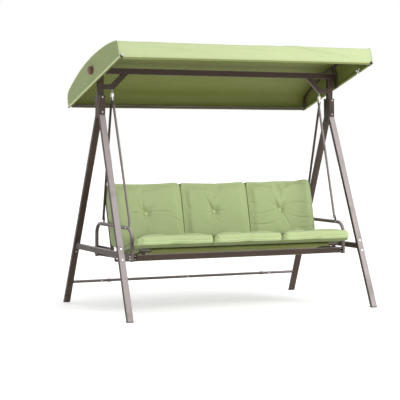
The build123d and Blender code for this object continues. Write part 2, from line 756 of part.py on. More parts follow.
def arc_points(centre, radius, start_deg, end_deg, steps):
    cy, cz = centre
    points = []
    for i in range(steps + 1):
        angle = math.radians(start_deg + (end_deg - start_deg) * i / steps)
        points.append((cy + radius * math.cos(angle), cz + radius * math.sin(angle)))
    return points


def seat_sling():
    """Sling over the front tube, sloping down to the lower rail."""
    r, centre, end, tangent = seat_sling_path()
    wrap = arc_points(centre, r, 250, 90 + math.degrees(tangent), 12)
    return sheet_profile(wrap + [end], SLING_HALF, SLING_T)


def back_sling():
    """Sling up the front of the back frame and over its top rail."""
    r = BACK_R + 0.4 + SLING_T / 2
    dy, dz = back_direction()
    normal = (-dz, dy)
    start = (LOWER_RAIL[0] - 6 + normal[0] * 2, LOWER_RAIL[1] + LOWER_RAIL_R + 16)
    front = (BACK_TOP[0] + normal[0] * r, BACK_TOP[1] + normal[1] * r)
    turn = math.degrees(math.atan2(normal[1], normal[0]))
    wrap = arc_points(BACK_TOP, r, turn, turn - 190, 12)
    near_start = (BACK_FOOT[0] + normal[0] * r + dy * 60, BACK_FOOT[1] + normal[1] * r + dz * 60)
    return sheet_profile([start, near_start] + wrap, SLING_HALF, SLING_T)


# ================= cushions =================

def rounded_prism(corners, radii, x0, x1, edge):
    """Prism between x0 and x1 of a YZ outline whose corners are rounded one by one."""
    face = Plane.YZ * make_face(Polyline(*corners, close=True))
    body = Pos(x0, 0, 0) * extrude(face, amount=x1 - x0)
    for (y, z), radius in zip(corners, radii):
        edges = body.edges().filter_by(Axis.X).sort_by_distance((0.5 * (x0 + x1), y, z))
        body = fillet(edges[0], radius)
    return fillet(body.faces().filter_by(Axis.X).edges(), edge)


def seat_cushion(x0, x1):
    """Seat cushion: thick rounded front edge, raked down to the rear, tucked under the back cushion."""
    front_y = SEAT_FRONT_Y
    corners = [(front_y, 541.0), (front_y, SEAT_FRONT_TOP_Z), (-12.0, 474.0), (20.0, 421.0)]
    body = rounded_prism(corners, [30.0, 32.0, 14.0, 14.0], x0, x1, 10.0)
    for side in (-1, 1):
        body -= rail_clearance(side)
    return body


def rail_clearance(side):
    """Room for a side rail under the outer end of the seat cushions."""
    start = (SIDE_RAIL_X, SIDE_RAIL_FRONT[0] - 20, SIDE_RAIL_FRONT[1] - 40)
    end = (SIDE_RAIL_X, SIDE_RAIL_REAR[0], SIDE_RAIL_REAR[1] - 40)
    width = RAIL_W + 6
    height = SIDE_RAIL_H + 84
    bar = extrude(run_plane(start, end) * Rectangle(width, height), amount=distance(start, end))
    return bar if side > 0 else mirror(bar, about=Plane.YZ)


def back_cushion(x0, x1):
    """Back cushion: thicker at the top, leaning back against the sling."""
    dy, dz = back_direction()
    clear = BACK_R + 0.4 + SLING_T + 1.2
    foot_y = BACK_FOOT[0] - clear * dz
    foot_z = BACK_FOOT[1] + clear * dy
    rear_low = (foot_y + dy * 54, foot_z + dz * 54)
    rear_high = (foot_y + dy * 562, foot_z + dz * 562)
    corners = [(-18.0, 486.0), (96.0, 987.0), rear_high, rear_low]
    return rounded_prism(corners, [22.0, 34.0, 30.0, 14.0], x0, x1, 10.0)


def cushion_spans(half, divide):
    g = CUSHION_GAP / 2
    return {
        "left": (-half, -divide - g),
        "middle": (-divide + g, divide - g),
        "right": (divide + g, half),
    }


# ================= canopy =================

def to_world(shape):
    """Places a canopy piece drawn level about the tilt axis at its rest tilt."""
    return Pos(0, 0, TILT_Z) * (Rot(TILT_DEG, 0, 0) * shape)


def canopy_face(inset, hem=HEM_Z, front_r=FRONT_SHOULDER_R):
    """Closed cross-section under the canopy's line, with rounded shoulders."""
    front = (-FRONT_DEPTH + inset, FRONT_SHOULDER_Z - inset * 0.7)
    rear = (REAR_DEPTH - inset, REAR_SHOULDER_Z - inset * 0.7)
    side_front = Line((front[0], hem), front)
    top = ThreePointArc(front, (0, CROWN_Z - inset), rear)
    side_rear = Line(rear, (rear[0], hem))
    bottom = Line((rear[0], hem), (front[0], hem))
    face = make_face([side_front, top, side_rear, bottom])
    face = fillet(nearest_corner(face, front), front_r - inset)
    return fillet(nearest_corner(face, rear), REAR_SHOULDER_R - inset)


def nearest_corner(face, point):
    return face.vertices().sort_by(lambda v: (v.X - point[0]) ** 2 + (v.Y - point[1]) ** 2)[0]


def canopy_top():
    """Cloth roof with its front and rear valances, one sheet bent over the arches and cut away for the bars."""
    outer = Plane.YZ * canopy_face(0.0)
    inner = Plane.YZ * canopy_face(CLOTH_T, HEM_Z - 5)
    half = CANOPY_HALF - CLOTH_T - 0.05
    sheet = extrude(outer, amount=half, both=True) - extrude(inner, amount=half + 5, both=True)
    clear = ARCH_TUBE_R + 0.6
    for side in (-1, 1):
        sheet -= Pos(side * (ARCH_X + 20 - clear), 0, BASE_BAR_Z + clear - 20) * Box(40, 3 * REAR_DEPTH, 40)
    return to_world(sheet)


def canopy_end():
    """Cloth end panel, with the hole for the knob's neck."""
    face = Plane.YZ * canopy_face(0.0)
    panel = Pos(CANOPY_HALF - CLOTH_T, 0, 0) * extrude(face, amount=CLOTH_T)
    hole = rod((CANOPY_HALF - 20, 0, 0), (CANOPY_HALF + 20, 0, 0), NECK_R + 3.0)
    return to_world(panel - hole)


ARCH_INSET = CLOTH_T + 1.0 + ARCH_TUBE_R
BASE_BAR_Z = HEM_Z + 0.4 + ARCH_TUBE_R      # the bars run inside the end panels' hems
BASE_BAR_ENDS = {-1: -FRONT_DEPTH - 20.0, 1: REAR_DEPTH + 20.0}
CROSS_TUBE_Y = {-1: -FRONT_DEPTH + ARCH_INSET, 1: REAR_DEPTH - ARCH_INSET}
CROSS_TUBE_Z = HEM_Z + 0.4 + CROSS_TUBE_R


def arch():
    """Bent tube that holds the roof's curve at each end, between the base bar's ends."""
    start_z = BASE_BAR_Z + ARCH_TUBE_R + 0.3
    wire = canopy_face(ARCH_INSET, start_z, ARCH_FRONT_BEND_R + ARCH_INSET).edges()
    keep = [e for e in wire if not is_bottom(e, start_z)]
    path = Wire(keep)
    placed = Pos(ARCH_X, 0, 0) * (Plane.YZ * path)
    first = placed @ 0
    start = Plane(origin=first, z_dir=placed % 0)
    outer = sweep(start * Circle(ARCH_TUBE_R), path=placed)
    inner = sweep(start * Circle(ARCH_TUBE_R - CANOPY_TUBE_WALL), path=placed)
    return to_world(outer - inner)


def is_bottom(edge, z):
    middle = edge @ 0.5
    return abs(middle.Y - z) < 0.01 and abs((edge % 0.5).Y) < 0.01


def base_bar():
    """Straight tube inside the end panel's hem, a little longer than the canopy is deep."""
    start = (ARCH_X, BASE_BAR_ENDS[-1], BASE_BAR_Z)
    end = (ARCH_X, BASE_BAR_ENDS[1], BASE_BAR_Z)
    return to_world(tube(start, end, ARCH_TUBE_R, CANOPY_TUBE_WALL))


def cross_tube(side):
    """Tube inside the front or rear hem, between the two arches."""
    half = ARCH_X - ARCH_TUBE_R - 0.4
    start = (-half, CROSS_TUBE_Y[side], CROSS_TUBE_Z)
    end = (half, CROSS_TUBE_Y[side], CROSS_TUBE_Z)
    return to_world(tube(start, end, CROSS_TUBE_R, CANOPY_TUBE_WALL))


BRACKET_X = ARCH_X - ARCH_TUBE_R - 0.3 - BRACKET_T


def bracket():
    """Flat upright from base bar to arch, tapered towards the arch, bored for the knob's stud."""
    top = CROWN_Z - ARCH_INSET + ARCH_TUBE_R * 0.5
    bottom = BASE_BAR_Z - ARCH_TUBE_R * 0.5
    half = BRACKET_W / 2
    foot = half * 0.45
    tip = half * 0.4
    outline = [(-foot, bottom), (foot, bottom), (half, 0), (tip, top), (-tip, top), (-half, 0)]
    face = Plane.YZ * make_face(Polyline(*outline, close=True))
    plate = Pos(BRACKET_X, 0, 0) * extrude(face, amount=BRACKET_T)
    bore = rod((BRACKET_X - 20, 0, 0), (CANOPY_HALF, 0, 0), STUD_R + RUNNING_GAP)
    boss_start = (BRACKET_X + BRACKET_T, 0, 0)
    boss = rod(boss_start, (CANOPY_HALF - CLOTH_T - 1.0, 0, 0), 14.0)
    return to_world(plate + boss - bore)


def corner_cap(side):
    """Plastic plug in the end of a base bar."""
    y = BASE_BAR_ENDS[side]
    plug = rod((ARCH_X, y, BASE_BAR_Z), (ARCH_X, y + side * 3.0, BASE_BAR_Z), ARCH_TUBE_R)
    stem_r = ARCH_TUBE_R - CANOPY_TUBE_WALL - 0.05
    stem = rod((ARCH_X, y, BASE_BAR_Z), (ARCH_X, y - side * 15, BASE_BAR_Z), stem_r)
    return to_world(plug + stem)


# ================= knobs =================

def knob():
    """Round clamping knob outside the canopy, with a fluted rim and a neck."""
    start = CANOPY_HALF + 1.0
    plane = Plane(origin=(start, 0, 0), x_dir=(0, 1, 0), z_dir=(1, 0, 0))
    body = extrude(plane * Circle(KNOB_R), amount=KNOB_LEN)
    body = fillet(body.edges().filter_by(GeomType.CIRCLE).sort_by(Axis.X)[-1], 9.0)
    body = fillet(body.edges().filter_by(GeomType.CIRCLE).sort_by(Axis.X)[0], 3.0)
    neck = rod((CANOPY_HALF - CLOTH_T - 0.6, 0, 0), (start, 0, 0), NECK_R)
    bore = rod((start - 20, 0, 0), (start + 18, 0, 0), STUD_R)
    return to_world(body + neck - bore)


def knob_stud():
    """Steel stud moulded into the knob; it passes the bracket and ends in the beam's plug."""
    return to_world(rod((BEAM_END_X - 30, 0, 0), (CANOPY_HALF + 19.0, 0, 0), STUD_R))


# ================= write the parts =================

def write_frame():
    on_right_and_left(leg(-1), "leg_front")
    on_right_and_left(leg(1), "leg_rear")
    caps = solids_of([foot_plug(-1), foot_plug(1), leg_top_plug(-1), leg_top_plug(1)])
    save(pair(caps), "leg_caps")
    save(pair(post()), "posts")
    on_right_and_left(beam(), "beam")
    save(beam_splice(), "beam_splice")
    save(pair(gusset()), "gussets")
    save(pair(eyebolt()), "eyebolts")
    save(pair(beam_end_plug()), "beam_end_plugs")
    on_right_and_left(crossbar(), "crossbar")
    on_right_and_left(stretcher_side(), "stretcher")
    save(stretcher_middle(), "stretcher_middle")
    save(pair(stretcher_collar()), "stretcher_collars")
    centre_bolt = bolt((0, STRETCH_Y - STRETCH_R, STRETCH_Z), (0, 1, 0), 2 * STRETCH_R)
    side_bolts = solids_of(apex_bolts() + crossbar_bolts() + stretcher_bolts())
    save(solids_of([pair(side_bolts), centre_bolt]), "frame_bolts")


def write_hangers():
    on_right_and_left(shackle(), "shackle")
    on_right_and_left(barrel(), "hanger_barrel")


def write_seat():
    on_right_and_left(front_rod(), "rod_front")
    on_right_and_left(rear_rod(), "rod_rear")
    save(pair(solids_of(hanger_bolts())), "hanger_bolts")
    on_right_and_left(armrest(), "armrest")
    on_right_and_left(side_rail(), "side_rail")
    save(front_rail(), "front_rail")
    save(sling_front_tube(), "sling_front_tube")
    save(pair(back_side_tube()), "back_side_tubes")
    save(back_top_rail(), "back_top_rail")
    save(solids_of([rear_rail(), lower_rail()]), "seat_cross_rails")
    save(pair(link_bar()), "link_bars")
    save(pair(solids_of(seat_frame_bolts())), "seat_frame_bolts")
    save(seat_sling(), "seat_sling")
    save(back_sling(), "back_sling")
    for name, (x0, x1) in cushion_spans(SEAT_HALF, SEAT_DIVIDE).items():
        save(seat_cushion(x0, x1), "seat_cushion_" + name)
    for name, (x0, x1) in cushion_spans(BACK_HALF, BACK_DIVIDE).items():
        save(back_cushion(x0, x1), "back_cushion_" + name)


def write_canopy():
    save(canopy_top(), "canopy_top")
    on_right_and_left(canopy_end(), "canopy_end")
    on_right_and_left(arch(), "canopy_arch")
    save(pair(base_bar()), "canopy_base_bars")
    save(solids_of([cross_tube(-1), cross_tube(1)]), "canopy_cross_tubes")
    save(pair(bracket()), "canopy_brackets")
    save(pair(solids_of([corner_cap(-1), corner_cap(1)])), "canopy_corner_caps")
    on_right_and_left(knob(), "knob")
    on_right_and_left(knob_stud(), "knob_stud")


write_frame()
write_hangers()
write_seat()
write_canopy()
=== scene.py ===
import json
import math

import bpy
import numpy as np
from mathutils import Matrix, Vector, noise
from mathutils.bvhtree import BVHTree


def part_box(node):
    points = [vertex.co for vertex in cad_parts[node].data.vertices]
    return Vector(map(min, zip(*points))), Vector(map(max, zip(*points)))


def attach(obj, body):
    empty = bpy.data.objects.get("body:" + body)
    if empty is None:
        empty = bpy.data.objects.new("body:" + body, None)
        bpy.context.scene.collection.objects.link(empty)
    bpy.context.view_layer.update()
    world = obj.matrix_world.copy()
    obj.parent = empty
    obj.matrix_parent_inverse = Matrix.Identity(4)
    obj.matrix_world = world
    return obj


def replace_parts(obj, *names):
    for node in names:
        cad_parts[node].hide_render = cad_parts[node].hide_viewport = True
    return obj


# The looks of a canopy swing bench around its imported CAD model. Metres, +Y to the rear, +Z up.

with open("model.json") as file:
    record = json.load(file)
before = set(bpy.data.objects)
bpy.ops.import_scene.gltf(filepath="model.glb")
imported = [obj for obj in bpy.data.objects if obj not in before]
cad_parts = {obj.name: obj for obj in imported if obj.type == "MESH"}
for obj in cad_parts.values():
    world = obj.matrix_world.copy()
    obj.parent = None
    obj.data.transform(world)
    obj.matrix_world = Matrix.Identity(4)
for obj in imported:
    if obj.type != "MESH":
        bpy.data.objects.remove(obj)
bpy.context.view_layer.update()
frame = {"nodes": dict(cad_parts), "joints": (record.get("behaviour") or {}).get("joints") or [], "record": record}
PIVOT = Vector((0, 0, next(j["pos_m"][2] for j in frame["joints"] if j["name"] == "canopy_tilt")))
SIDES = {"left": -1, "right": 1}
MM = 0.001


# ===== materials =====

class Nodes:
    """A node tree, with short calls for the nodes used here."""

    def __init__(self, owner):
        owner.use_nodes = True
        self.tree = owner.node_tree

    def feed(self, socket, value):
        """Wires an output to a socket, or sets a number, vector or colour on it."""
        if isinstance(value, bpy.types.NodeSocket):
            self.tree.links.new(value, socket)
        else:
            socket.default_value = (*value, 1) if socket.type == "RGBA" else value

    def add(self, kind, *feeds, **values):
        """A new node: feeds go to its first sockets, and values to its settings or named sockets."""
        node = self.tree.nodes.new("ShaderNode" + kind)
        for key, value in values.items():
            if hasattr(node, key):
                setattr(node, key, value)
            else:
                self.feed(node.inputs[key.replace("_", " ")], value)
        for index, value in enumerate(feeds):
            self.feed(node.inputs[index], value)
        return node

    def ramp(self, value, low, high, bottom=0.0, top=1.0):
        """Value taken from low..high to bottom..top, held at the ends."""
        return self.add("MapRange", value, From_Min=low, From_Max=high, To_Min=bottom, To_Max=top).outputs["Result"]

    def math(self, operation, *values):
        return self.add("Math", *values, operation=operation).outputs[0]

    def times(self, a, b):
        return self.math("MULTIPLY", a, b)

    def height(self, vector):
        return self.add("SeparateXYZ", vector).outputs["Z"]


class Paint(Nodes):
    """A material."""

    def __init__(self, name, colour, roughness, **sockets):
        self.material = bpy.data.materials.new(name)
        super().__init__(self.material)
        self.shader = self.tree.nodes["Principled BSDF"]
        for key, value in {"Base_Color": colour, "Roughness": roughness, **sockets}.items():
            self.feed(self.shader.inputs[key.replace("_", " ")], value)

    def place(self, kind="Object", stretch=(1, 1, 1)):
        """Coordinates in metres, stretched."""
        return self.add("Mapping", self.add("TexCoord").outputs[kind], Scale=stretch).outputs["Vector"]

    def noise(self, scale, detail, where=None):
        return self.add("TexNoise", where or self.place(), Scale=scale, Detail=detail, Roughness=0.55).outputs["Fac"]

    def patches(self, scale, detail, low, high):
        """Soft-edged patches."""
        return self.ramp(self.noise(scale, detail), low, high)

    def blend(self, share, a, b, most=None):
        """Colour a turned into colour b by share, at most by the share most."""
        node = self.add("Mix", self.times(share, most) if most else share, data_type="RGBA")
        self.feed(node.inputs[6], a)
        self.feed(node.inputs[7], b)
        return node.outputs[2]

    def roughness(self, share, low, high):
        self.feed(self.shader.inputs["Roughness"], self.ramp(share, 0.0, 1.0, low, high))

    def bump(self, height, strength, distance, below=None):
        node = self.add("Bump", Height=height, Strength=strength, Distance=distance)
        if below:
            self.feed(node.inputs["Normal"], below)
        return node.outputs["Normal"]

    def finish(self, colour, normal):
        for key, output in (("Base Color", colour), ("Normal", normal)):
            if output:
                self.feed(self.shader.inputs[key], output)
        return self.material

    def edges(self, radius):
        """1 along sharp edges and 0 on flat faces."""
        bevel = self.add("Bevel", Radius=radius, samples=4).outputs["Normal"]
        flat = self.add("NewGeometry").outputs["Normal"]
        return self.ramp(self.add("VectorMath", bevel, flat, operation="DOT_PRODUCT").outputs["Value"], 0.995, 0.90)

    def weave(self, pitch, where):
        """Plain weave: threads that pass over and under each other."""
        waves = [self.add("TexWave", where, bands_direction=way, Scale=2 * math.pi / 20 / pitch, Distortion=0.0)
                 for way in "XY"]
        rows = [self.math("SUBTRACT", wave.outputs["Fac"], 0.5) for wave in waves]
        return self.math("ADD", self.times(self.times(*rows), 2.0), 0.5)


def tinted(colour, factor):
    return tuple(min(1.0, c * factor) for c in colour)


def powder_coat(name, brown, sky):
    """Brown powder coat: orange peel, paler in patches where it faces the sky as a painted highlight of the light
    above, thinned along the edges, dusty feet.
    """
    p = Paint(name, brown, 0.40, Specular_IOR_Level=0.3)
    colour = p.blend(p.patches(3.0, 5.0, 0.35, 0.7), brown, tinted(brown, 1.38))
    facing = p.height(p.add("NewGeometry").outputs["Normal"])
    # Painted highlight: the paint turns pale where the face looks up, standing in for the reflection of the light
    # above.
    painted_sky_highlight = p.times(p.ramp(facing, *sky), p.patches(7.0, 5.0, 0.1, 0.45))
    colour = p.blend(painted_sky_highlight, colour, (0.310, 0.268, 0.268), 0.92)
    colour = p.blend(p.patches(420.0, 2.0, 0.66, 0.74), colour, (0.095, 0.068, 0.052), 0.3)
    worn = p.times(p.edges(1.6 * MM), p.patches(24.0, 4.0, 0.45, 0.7))
    colour = p.blend(worn, colour, (0.17, 0.125, 0.10), 0.55)
    dust = p.times(p.ramp(p.height(p.place()), 0.22, 0.02), p.patches(38.0, 6.0, 0.4, 0.75))
    colour = p.blend(dust, colour, (0.20, 0.17, 0.145), 0.4)
    p.roughness(p.patches(14.0, 6.0, 0.3, 0.7), 0.31, 0.47)
    peel = p.bump(p.noise(620.0, 2.0), 0.25, 0.25 * MM)
    return p.finish(colour, p.bump(p.noise(60.0, 3.0), 0.08, 0.6 * MM, peel))


def zinc(name, tone):
    """Zinc plate with faint drag marks and a few duller spots."""
    p = Paint(name, (tone, tone, tone * 0.98), 0.36, Metallic=0.9)
    bright, dull = (tone * 1.05, tone * 1.05, tone * 1.02), (tone * 0.76, tone * 0.74, tone * 0.7)
    colour = p.blend(p.patches(90.0, 4.0, 0.5, 0.72), bright, dull)
    p.roughness(p.patches(45.0, 5.0, 0.3, 0.7), 0.28, 0.48)
    return p.finish(colour, p.bump(p.noise(1400.0, 2.0, p.place(stretch=(0.06, 1, 1))), 0.3, 0.08 * MM))


def moulded(name, colour, roughness=0.5, worn=1.8):
    """Moulded plastic: fine spark texture, slight colour flow and rubbed edges."""
    p = Paint(name, colour, roughness, Specular_IOR_Level=0.45)
    shade = p.blend(p.patches(16.0, 4.0, 0.35, 0.7), colour, tinted(colour, 1.25))
    rubbed = p.times(p.edges(1.2 * MM), p.patches(60.0, 3.0, 0.4, 0.7))
    shade = p.blend(rubbed, shade, tinted(colour, worn), 0.6)
    p.roughness(p.patches(30.0, 4.0, 0.3, 0.7), roughness - 0.08, roughness + 0.1)
    return p.finish(shade, p.bump(p.noise(900.0, 2.0), 0.3, 0.15 * MM))


def cloth(name, colour, pitch, slub=0.1, weave_depth=0.5, roughness=0.9, sheen=0.15):
    """Woven cloth laid out in UV metres: weave, uneven threads both ways, slight fading."""
    p = Paint(name, colour, roughness, Specular_IOR_Level=0.25, Sheen_Weight=sheen, Sheen_Roughness=0.45)
    threads = p.weave(pitch, p.place("UV"))
    weft, warp = (p.noise(1.0, 4.0, p.place("UV", stretch)) for stretch in ((9, 420, 1), (420, 9, 1)))
    uneven = p.ramp(p.math("ADD", weft, warp), 0.75, 1.25)
    shade = p.blend(uneven, tinted(colour, 1 - slub), tinted(colour, 1 + slub))
    shade = p.blend(p.patches(2.2, 4.0, 0.35, 0.75), shade, tinted(colour, 1.12), 0.35)
    # Painted shade: the cloth is darker where the threads dip under, in the weave's hollows.
    shade = p.blend(p.ramp(threads, 0.45, 0.15), shade, tinted(colour, 0.55), 0.35)
    p.roughness(uneven, roughness - 0.06, roughness + 0.05)
    return p.finish(shade, p.bump(uneven, 0.25, 0.4 * MM, p.bump(threads, weave_depth, 0.3 * pitch)))


def thread(name, colour):
    """Twisted sewing thread or cotton tape."""
    p = Paint(name, colour, 0.8, Specular_IOR_Level=0.3)
    twist = p.noise(900.0, 2.0, p.place(stretch=(1, 1, 2.5)))
    shade = p.blend(p.ramp(twist, 0.35, 0.65), tinted(colour, 0.8), tinted(colour, 1.08))
    return p.finish(shade, p.bump(twist, 0.5, 0.2 * MM))


def floor_paint():
    p = Paint("pale floor", (0.74, 0.74, 0.74), 0.7, Specular_IOR_Level=0.2, Emission_Color=(1, 1, 1),
              Emission_Strength=0.42)
    p.roughness(p.patches(4.0, 5.0, 0.3, 0.7), 0.62, 0.78)
    return p.finish(None, p.bump(p.noise(60.0, 3.0), 0.05, 0.5 * MM))


CANOPY_OUT = (0.392, 0.452, 0.246)
CUSHION_GREEN = (0.372, 0.449, 0.222)

COAT = powder_coat("brown powder coat", (0.036, 0.0205, 0.0130), (0.10, 0.42))
# A paler copy of the powder coat for the rods, armrests and stretcher, with the painted highlight reaching further
# down: painted light on the same paint.
LIT_TUBE_COAT = powder_coat("brown tube coat painted lighter", (0.070, 0.0480, 0.0390), (-0.25, 0.60))
ZINC = zinc("zinc plate", 0.46)
BRIGHT_ZINC = zinc("bright zinc", 0.86)
BLACK = moulded("black plastic", (0.022, 0.022, 0.023), worn=3.0)
GREY = moulded("grey plastic", (0.30, 0.30, 0.29), worn=1.2)
BROWN_KNOB = moulded("knob plastic", (0.120, 0.050, 0.028), 0.42)
CANOPY_CLOTH = cloth("canopy cloth", CANOPY_OUT, 1.5 * MM, 0.06)
# A darker copy of the canopy cloth for the end panels: painted shade, as the ends face away from the light.
SHADED_END_CLOTH = cloth("canopy end cloth painted darker", (0.290, 0.346, 0.152), 1.5 * MM, 0.06)
# A lighter copy of the canopy cloth for the front hem, the tops of the sleeves and the end piping: painted highlight
# where they catch the light.
LIT_CANOPY_BINDING = cloth("canopy binding painted lighter", tinted(CANOPY_OUT, 1.28), 1.5 * MM, 0.05)
CANOPY_LINING = cloth("canopy coating", (0.150, 0.170, 0.040), 1.5 * MM, 0.12, 0.25, 0.62, 0.0)
CUSHION_CLOTH = cloth("cushion cloth", CUSHION_GREEN, 2.4 * MM, 0.09, 0.6)
# A lighter copy of the cushion cloth for the buttons: painted highlight.
LIT_BUTTON_CLOTH = cloth("cushion button cloth painted lighter", tinted(CUSHION_GREEN, 1.22), 2.0 * MM, 0.09, 0.6)
# A lighter copy of the cushion cloth for the piping of the fronts, rears and faces: painted highlight along the seams.
LIT_PIPING_CLOTH = cloth("cushion piping painted lighter", tinted(CUSHION_GREEN, 1.30), 2.0 * MM, 0.09, 0.6)
# A dark copy of the cushion cloth for the piping of the sides: painted shade along the side seams.
SHADED_SIDE_PIPING = cloth("cushion side piping painted darker", tinted(CUSHION_GREEN, 0.30), 2.0 * MM, 0.12, 0.6)
# A dark cloth for the seat cushions below the front seam: painted shade under the roll.
SHADED_UNDER_CLOTH = cloth("cushion underside painted shade", (0.150, 0.190, 0.058), 2.4 * MM, 0.12, 0.6)
SLING_CLOTH = cloth("sling mesh", (0.150, 0.165, 0.045), 2.2 * MM, 0.12, 0.9, 0.7, 0.0)
THREAD = thread("green thread", (0.33, 0.44, 0.17))
TAPE = thread("white tape", (0.92, 0.92, 0.89))

CAD_FINISH = {"powder_coat_brown": COAT, "zinc_hardware": ZINC, "black_plastic": BLACK, "grey_plastic": GREY,
              "knob_plastic": BROWN_KNOB, "canopy_cloth": CANOPY_CLOTH, "sling_cloth": SLING_CLOTH,
              "cushion_cloth": CUSHION_CLOTH}
NODE_FINISH = {"rod_front": LIT_TUBE_COAT, "armrest": LIT_TUBE_COAT, "stretcher": LIT_TUBE_COAT, "hanger_barrel": BRIGHT_ZINC}


def finish_cad_nodes():
    """Gives each CAD node the finish of its material slot, or its own."""
    for row in frame["record"]["subparts"]:
        materials = frame["nodes"][row["node"]].data.materials
        materials.clear()
        own = [finish for start, finish in NODE_FINISH.items() if row["node"].startswith(start)]
        materials.append((own + [CAD_FINISH[row["material_slot"]]])[0])


# ===== mesh helpers =====

ON_CANOPY, ON_CUSHION, ON_SLING = ("canopy", "canopy_cloth"), ("seat", "cushion_cloth"), ("seat", "sling_cloth")


def linked(name, data):
    """A new object in the scene."""
    obj = bpy.data.objects.new(name, data)
    bpy.context.scene.collection.objects.link(obj)
    return obj


def new_mesh(name, points, faces, uvs=None):
    mesh = bpy.data.meshes.new(name)
    mesh.from_pydata([tuple(p) for p in points], [], [tuple(int(i) for i in f) for f in faces])
    if uvs is not None:
        mesh.uv_layers.new(name="UVMap").data.foreach_set("uv", np.asarray(uvs, np.float32).ravel())
    return mesh


def on_body(obj, body, slot):
    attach(obj, body)
    return obj


def piece(name, shape, where, *materials, slots=None):
    """A new object from (points, faces, corner UVs) that rides on a body. slots are per face."""
    mesh = new_mesh(name, *shape)
    for material in materials:
        mesh.materials.append(material)
    if slots is not None:
        mesh.polygons.foreach_set("material_index", slots)
    mesh.polygons.foreach_set("use_smooth", [True] * len(mesh.polygons))
    mesh.update()
    return on_body(linked(name, mesh), *where)


def lengths(path):
    """How far along a line each of its points is."""
    steps = np.linalg.norm(np.diff(np.array([tuple(p) for p in path]), axis=0), axis=1)
    return [0.0, *np.cumsum(steps).tolist()]


def clamp(value, low=0.0, high=1.0):
    return min(high, max(low, value))


def soft(values):
    return np.clip(values, 0, 1)


def sheet_mesh(rows, columns, point, uv, keep=None, flip=False, around=False, closed=False):
    """Points, faces and corner UVs of a grid. keep chooses cells by their place; loose points are left out."""
    faces, uvs = [], []
    for j in range(rows if closed else rows - 1):
        for i in range(columns if around else columns - 1):
            corners = [(i, j), (i + 1, j), (i + 1, j + 1), (i, j + 1)]
            if flip:
                corners.reverse()
            if not keep or keep(i, j):
                faces.append([b % rows * columns + a % columns for a, b in corners])
                uvs += [uv(a, b) for a, b in corners]
    used = sorted({v for face in faces for v in face})
    index = {v: i for i, v in enumerate(used)}
    return [point(v % columns, v // columns) for v in used], [[index[v] for v in f] for f in faces], uvs


def sweep(path, section, ups, closed=False):
    """Points, faces and corner UVs of a section carried along a path. ups point along the section's y."""
    path = [Vector(p) for p in path]
    count, sides = len(path), len(section)
    ups = ups if hasattr(ups[0], "__len__") else [ups] * count
    along, round_it = lengths(path + path[:1]), lengths([*section, section[0]])
    frames = []
    for i in range(count):
        before, after = (path[k % count] if closed else path[clamp(k, 0, count - 1)] for k in (i - 1, i + 1))
        tangent = (after - before).normalized()
        across = tangent.cross(Vector(ups[i])).normalized()
        frames.append((across, across.cross(tangent)))

    def point(k, i):
        return path[i] + frames[i][0] * section[k][0] + frames[i][1] * section[k][1]

    points, faces, uvs = sheet_mesh(count, sides, point, lambda k, i: (along[i], round_it[k]),
                                    around=True, closed=closed)
    if not closed:
        for ring in (range(sides - 1, -1, -1), range((count - 1) * sides, count * sides)):
            faces.append(list(ring))
            uvs += [(round_it[k], 0.0) for k in range(sides)]
    return points, faces, uvs


def circle(radius, sides, flat=1.0):
    step = 2 * math.pi / sides
    return [(radius * math.cos(k * step), radius * flat * math.sin(k * step)) for k in range(sides)]


def merged(parts):
    """One set of points, faces and UVs from several."""
    points, faces, uvs = [], [], []
    for p, f, u in parts:
        faces += [[i + len(points) for i in face] for face in f]
        points += p
        uvs += u
    return points, faces, uvs


def lathe(profile, origin, axis, sides, flute=None):
    """Points, faces and UVs of a profile of (radius, height) turned about an axis."""
    axis = Vector(axis).normalized()
    side = axis.orthogonal().normalized()
    other = axis.cross(side)

    def point(k, i):
        angle, (radius, height) = 2 * math.pi * k / sides, profile[i]
        r = radius * (flute(angle, radius) if flute else 1.0)
        return origin + axis * height + side * (r * math.cos(angle)) + other * (r * math.sin(angle))

    def uv(k, i):
        return profile[i][0] * 2 * math.pi * k / sides, profile[i][1]

    return sheet_mesh(len(profile), sides, point, uv, around=True)


def spaced(path, step):
    """Points at even steps along a polyline."""
    along = lengths(path)
    at = np.linspace(0, along[-1], max(2, round(along[-1] / step) + 1))
    return [Vector(p) for p in zip(*(np.interp(at, along, axis) for axis in zip(*path)))]


def stitches(path, ups):
    """A row of sewn stitches along a path, each a small thread bulge lying on the cloth."""
    pitch, share, radius = 7 * MM, 0.62, 0.55 * MM
    points = spaced(path, pitch)
    ups = spaced(ups, pitch) if hasattr(ups[0], "__len__") else [ups]
    parts = []
    for i, (a, b) in enumerate(zip(points, points[1:])):
        reach, up = (b - a) * share, ups[min(i, len(ups) - 1)].normalized()
        parts.append(sweep([a, a + reach * 0.5 + up * radius * 0.4, a + reach], circle(radius, 5, 0.7), up))
    return merged(parts)


def thickened(obj, thickness, lining=0):
    """Gives a sheet its thickness inwards. lining is how many materials further on the inside's one is."""
    solid = obj.modifiers.new("thickness", "SOLIDIFY")
    solid.thickness, solid.offset = thickness, -1
    solid.material_offset, solid.material_offset_rim = lining, 0
    applied(obj)


def applied(obj):
    """Applies an object's modifiers to its mesh."""
    bpy.context.view_layer.update()
    shown = obj.evaluated_get(bpy.context.evaluated_depsgraph_get())
    mesh = bpy.data.meshes.new_from_object(shown)
    obj.modifiers.clear()
    obj.data = mesh


def smooth_noise(x, y, seed):
    return noise.noise(Vector((x, y, seed)))


# ===== canopy =====

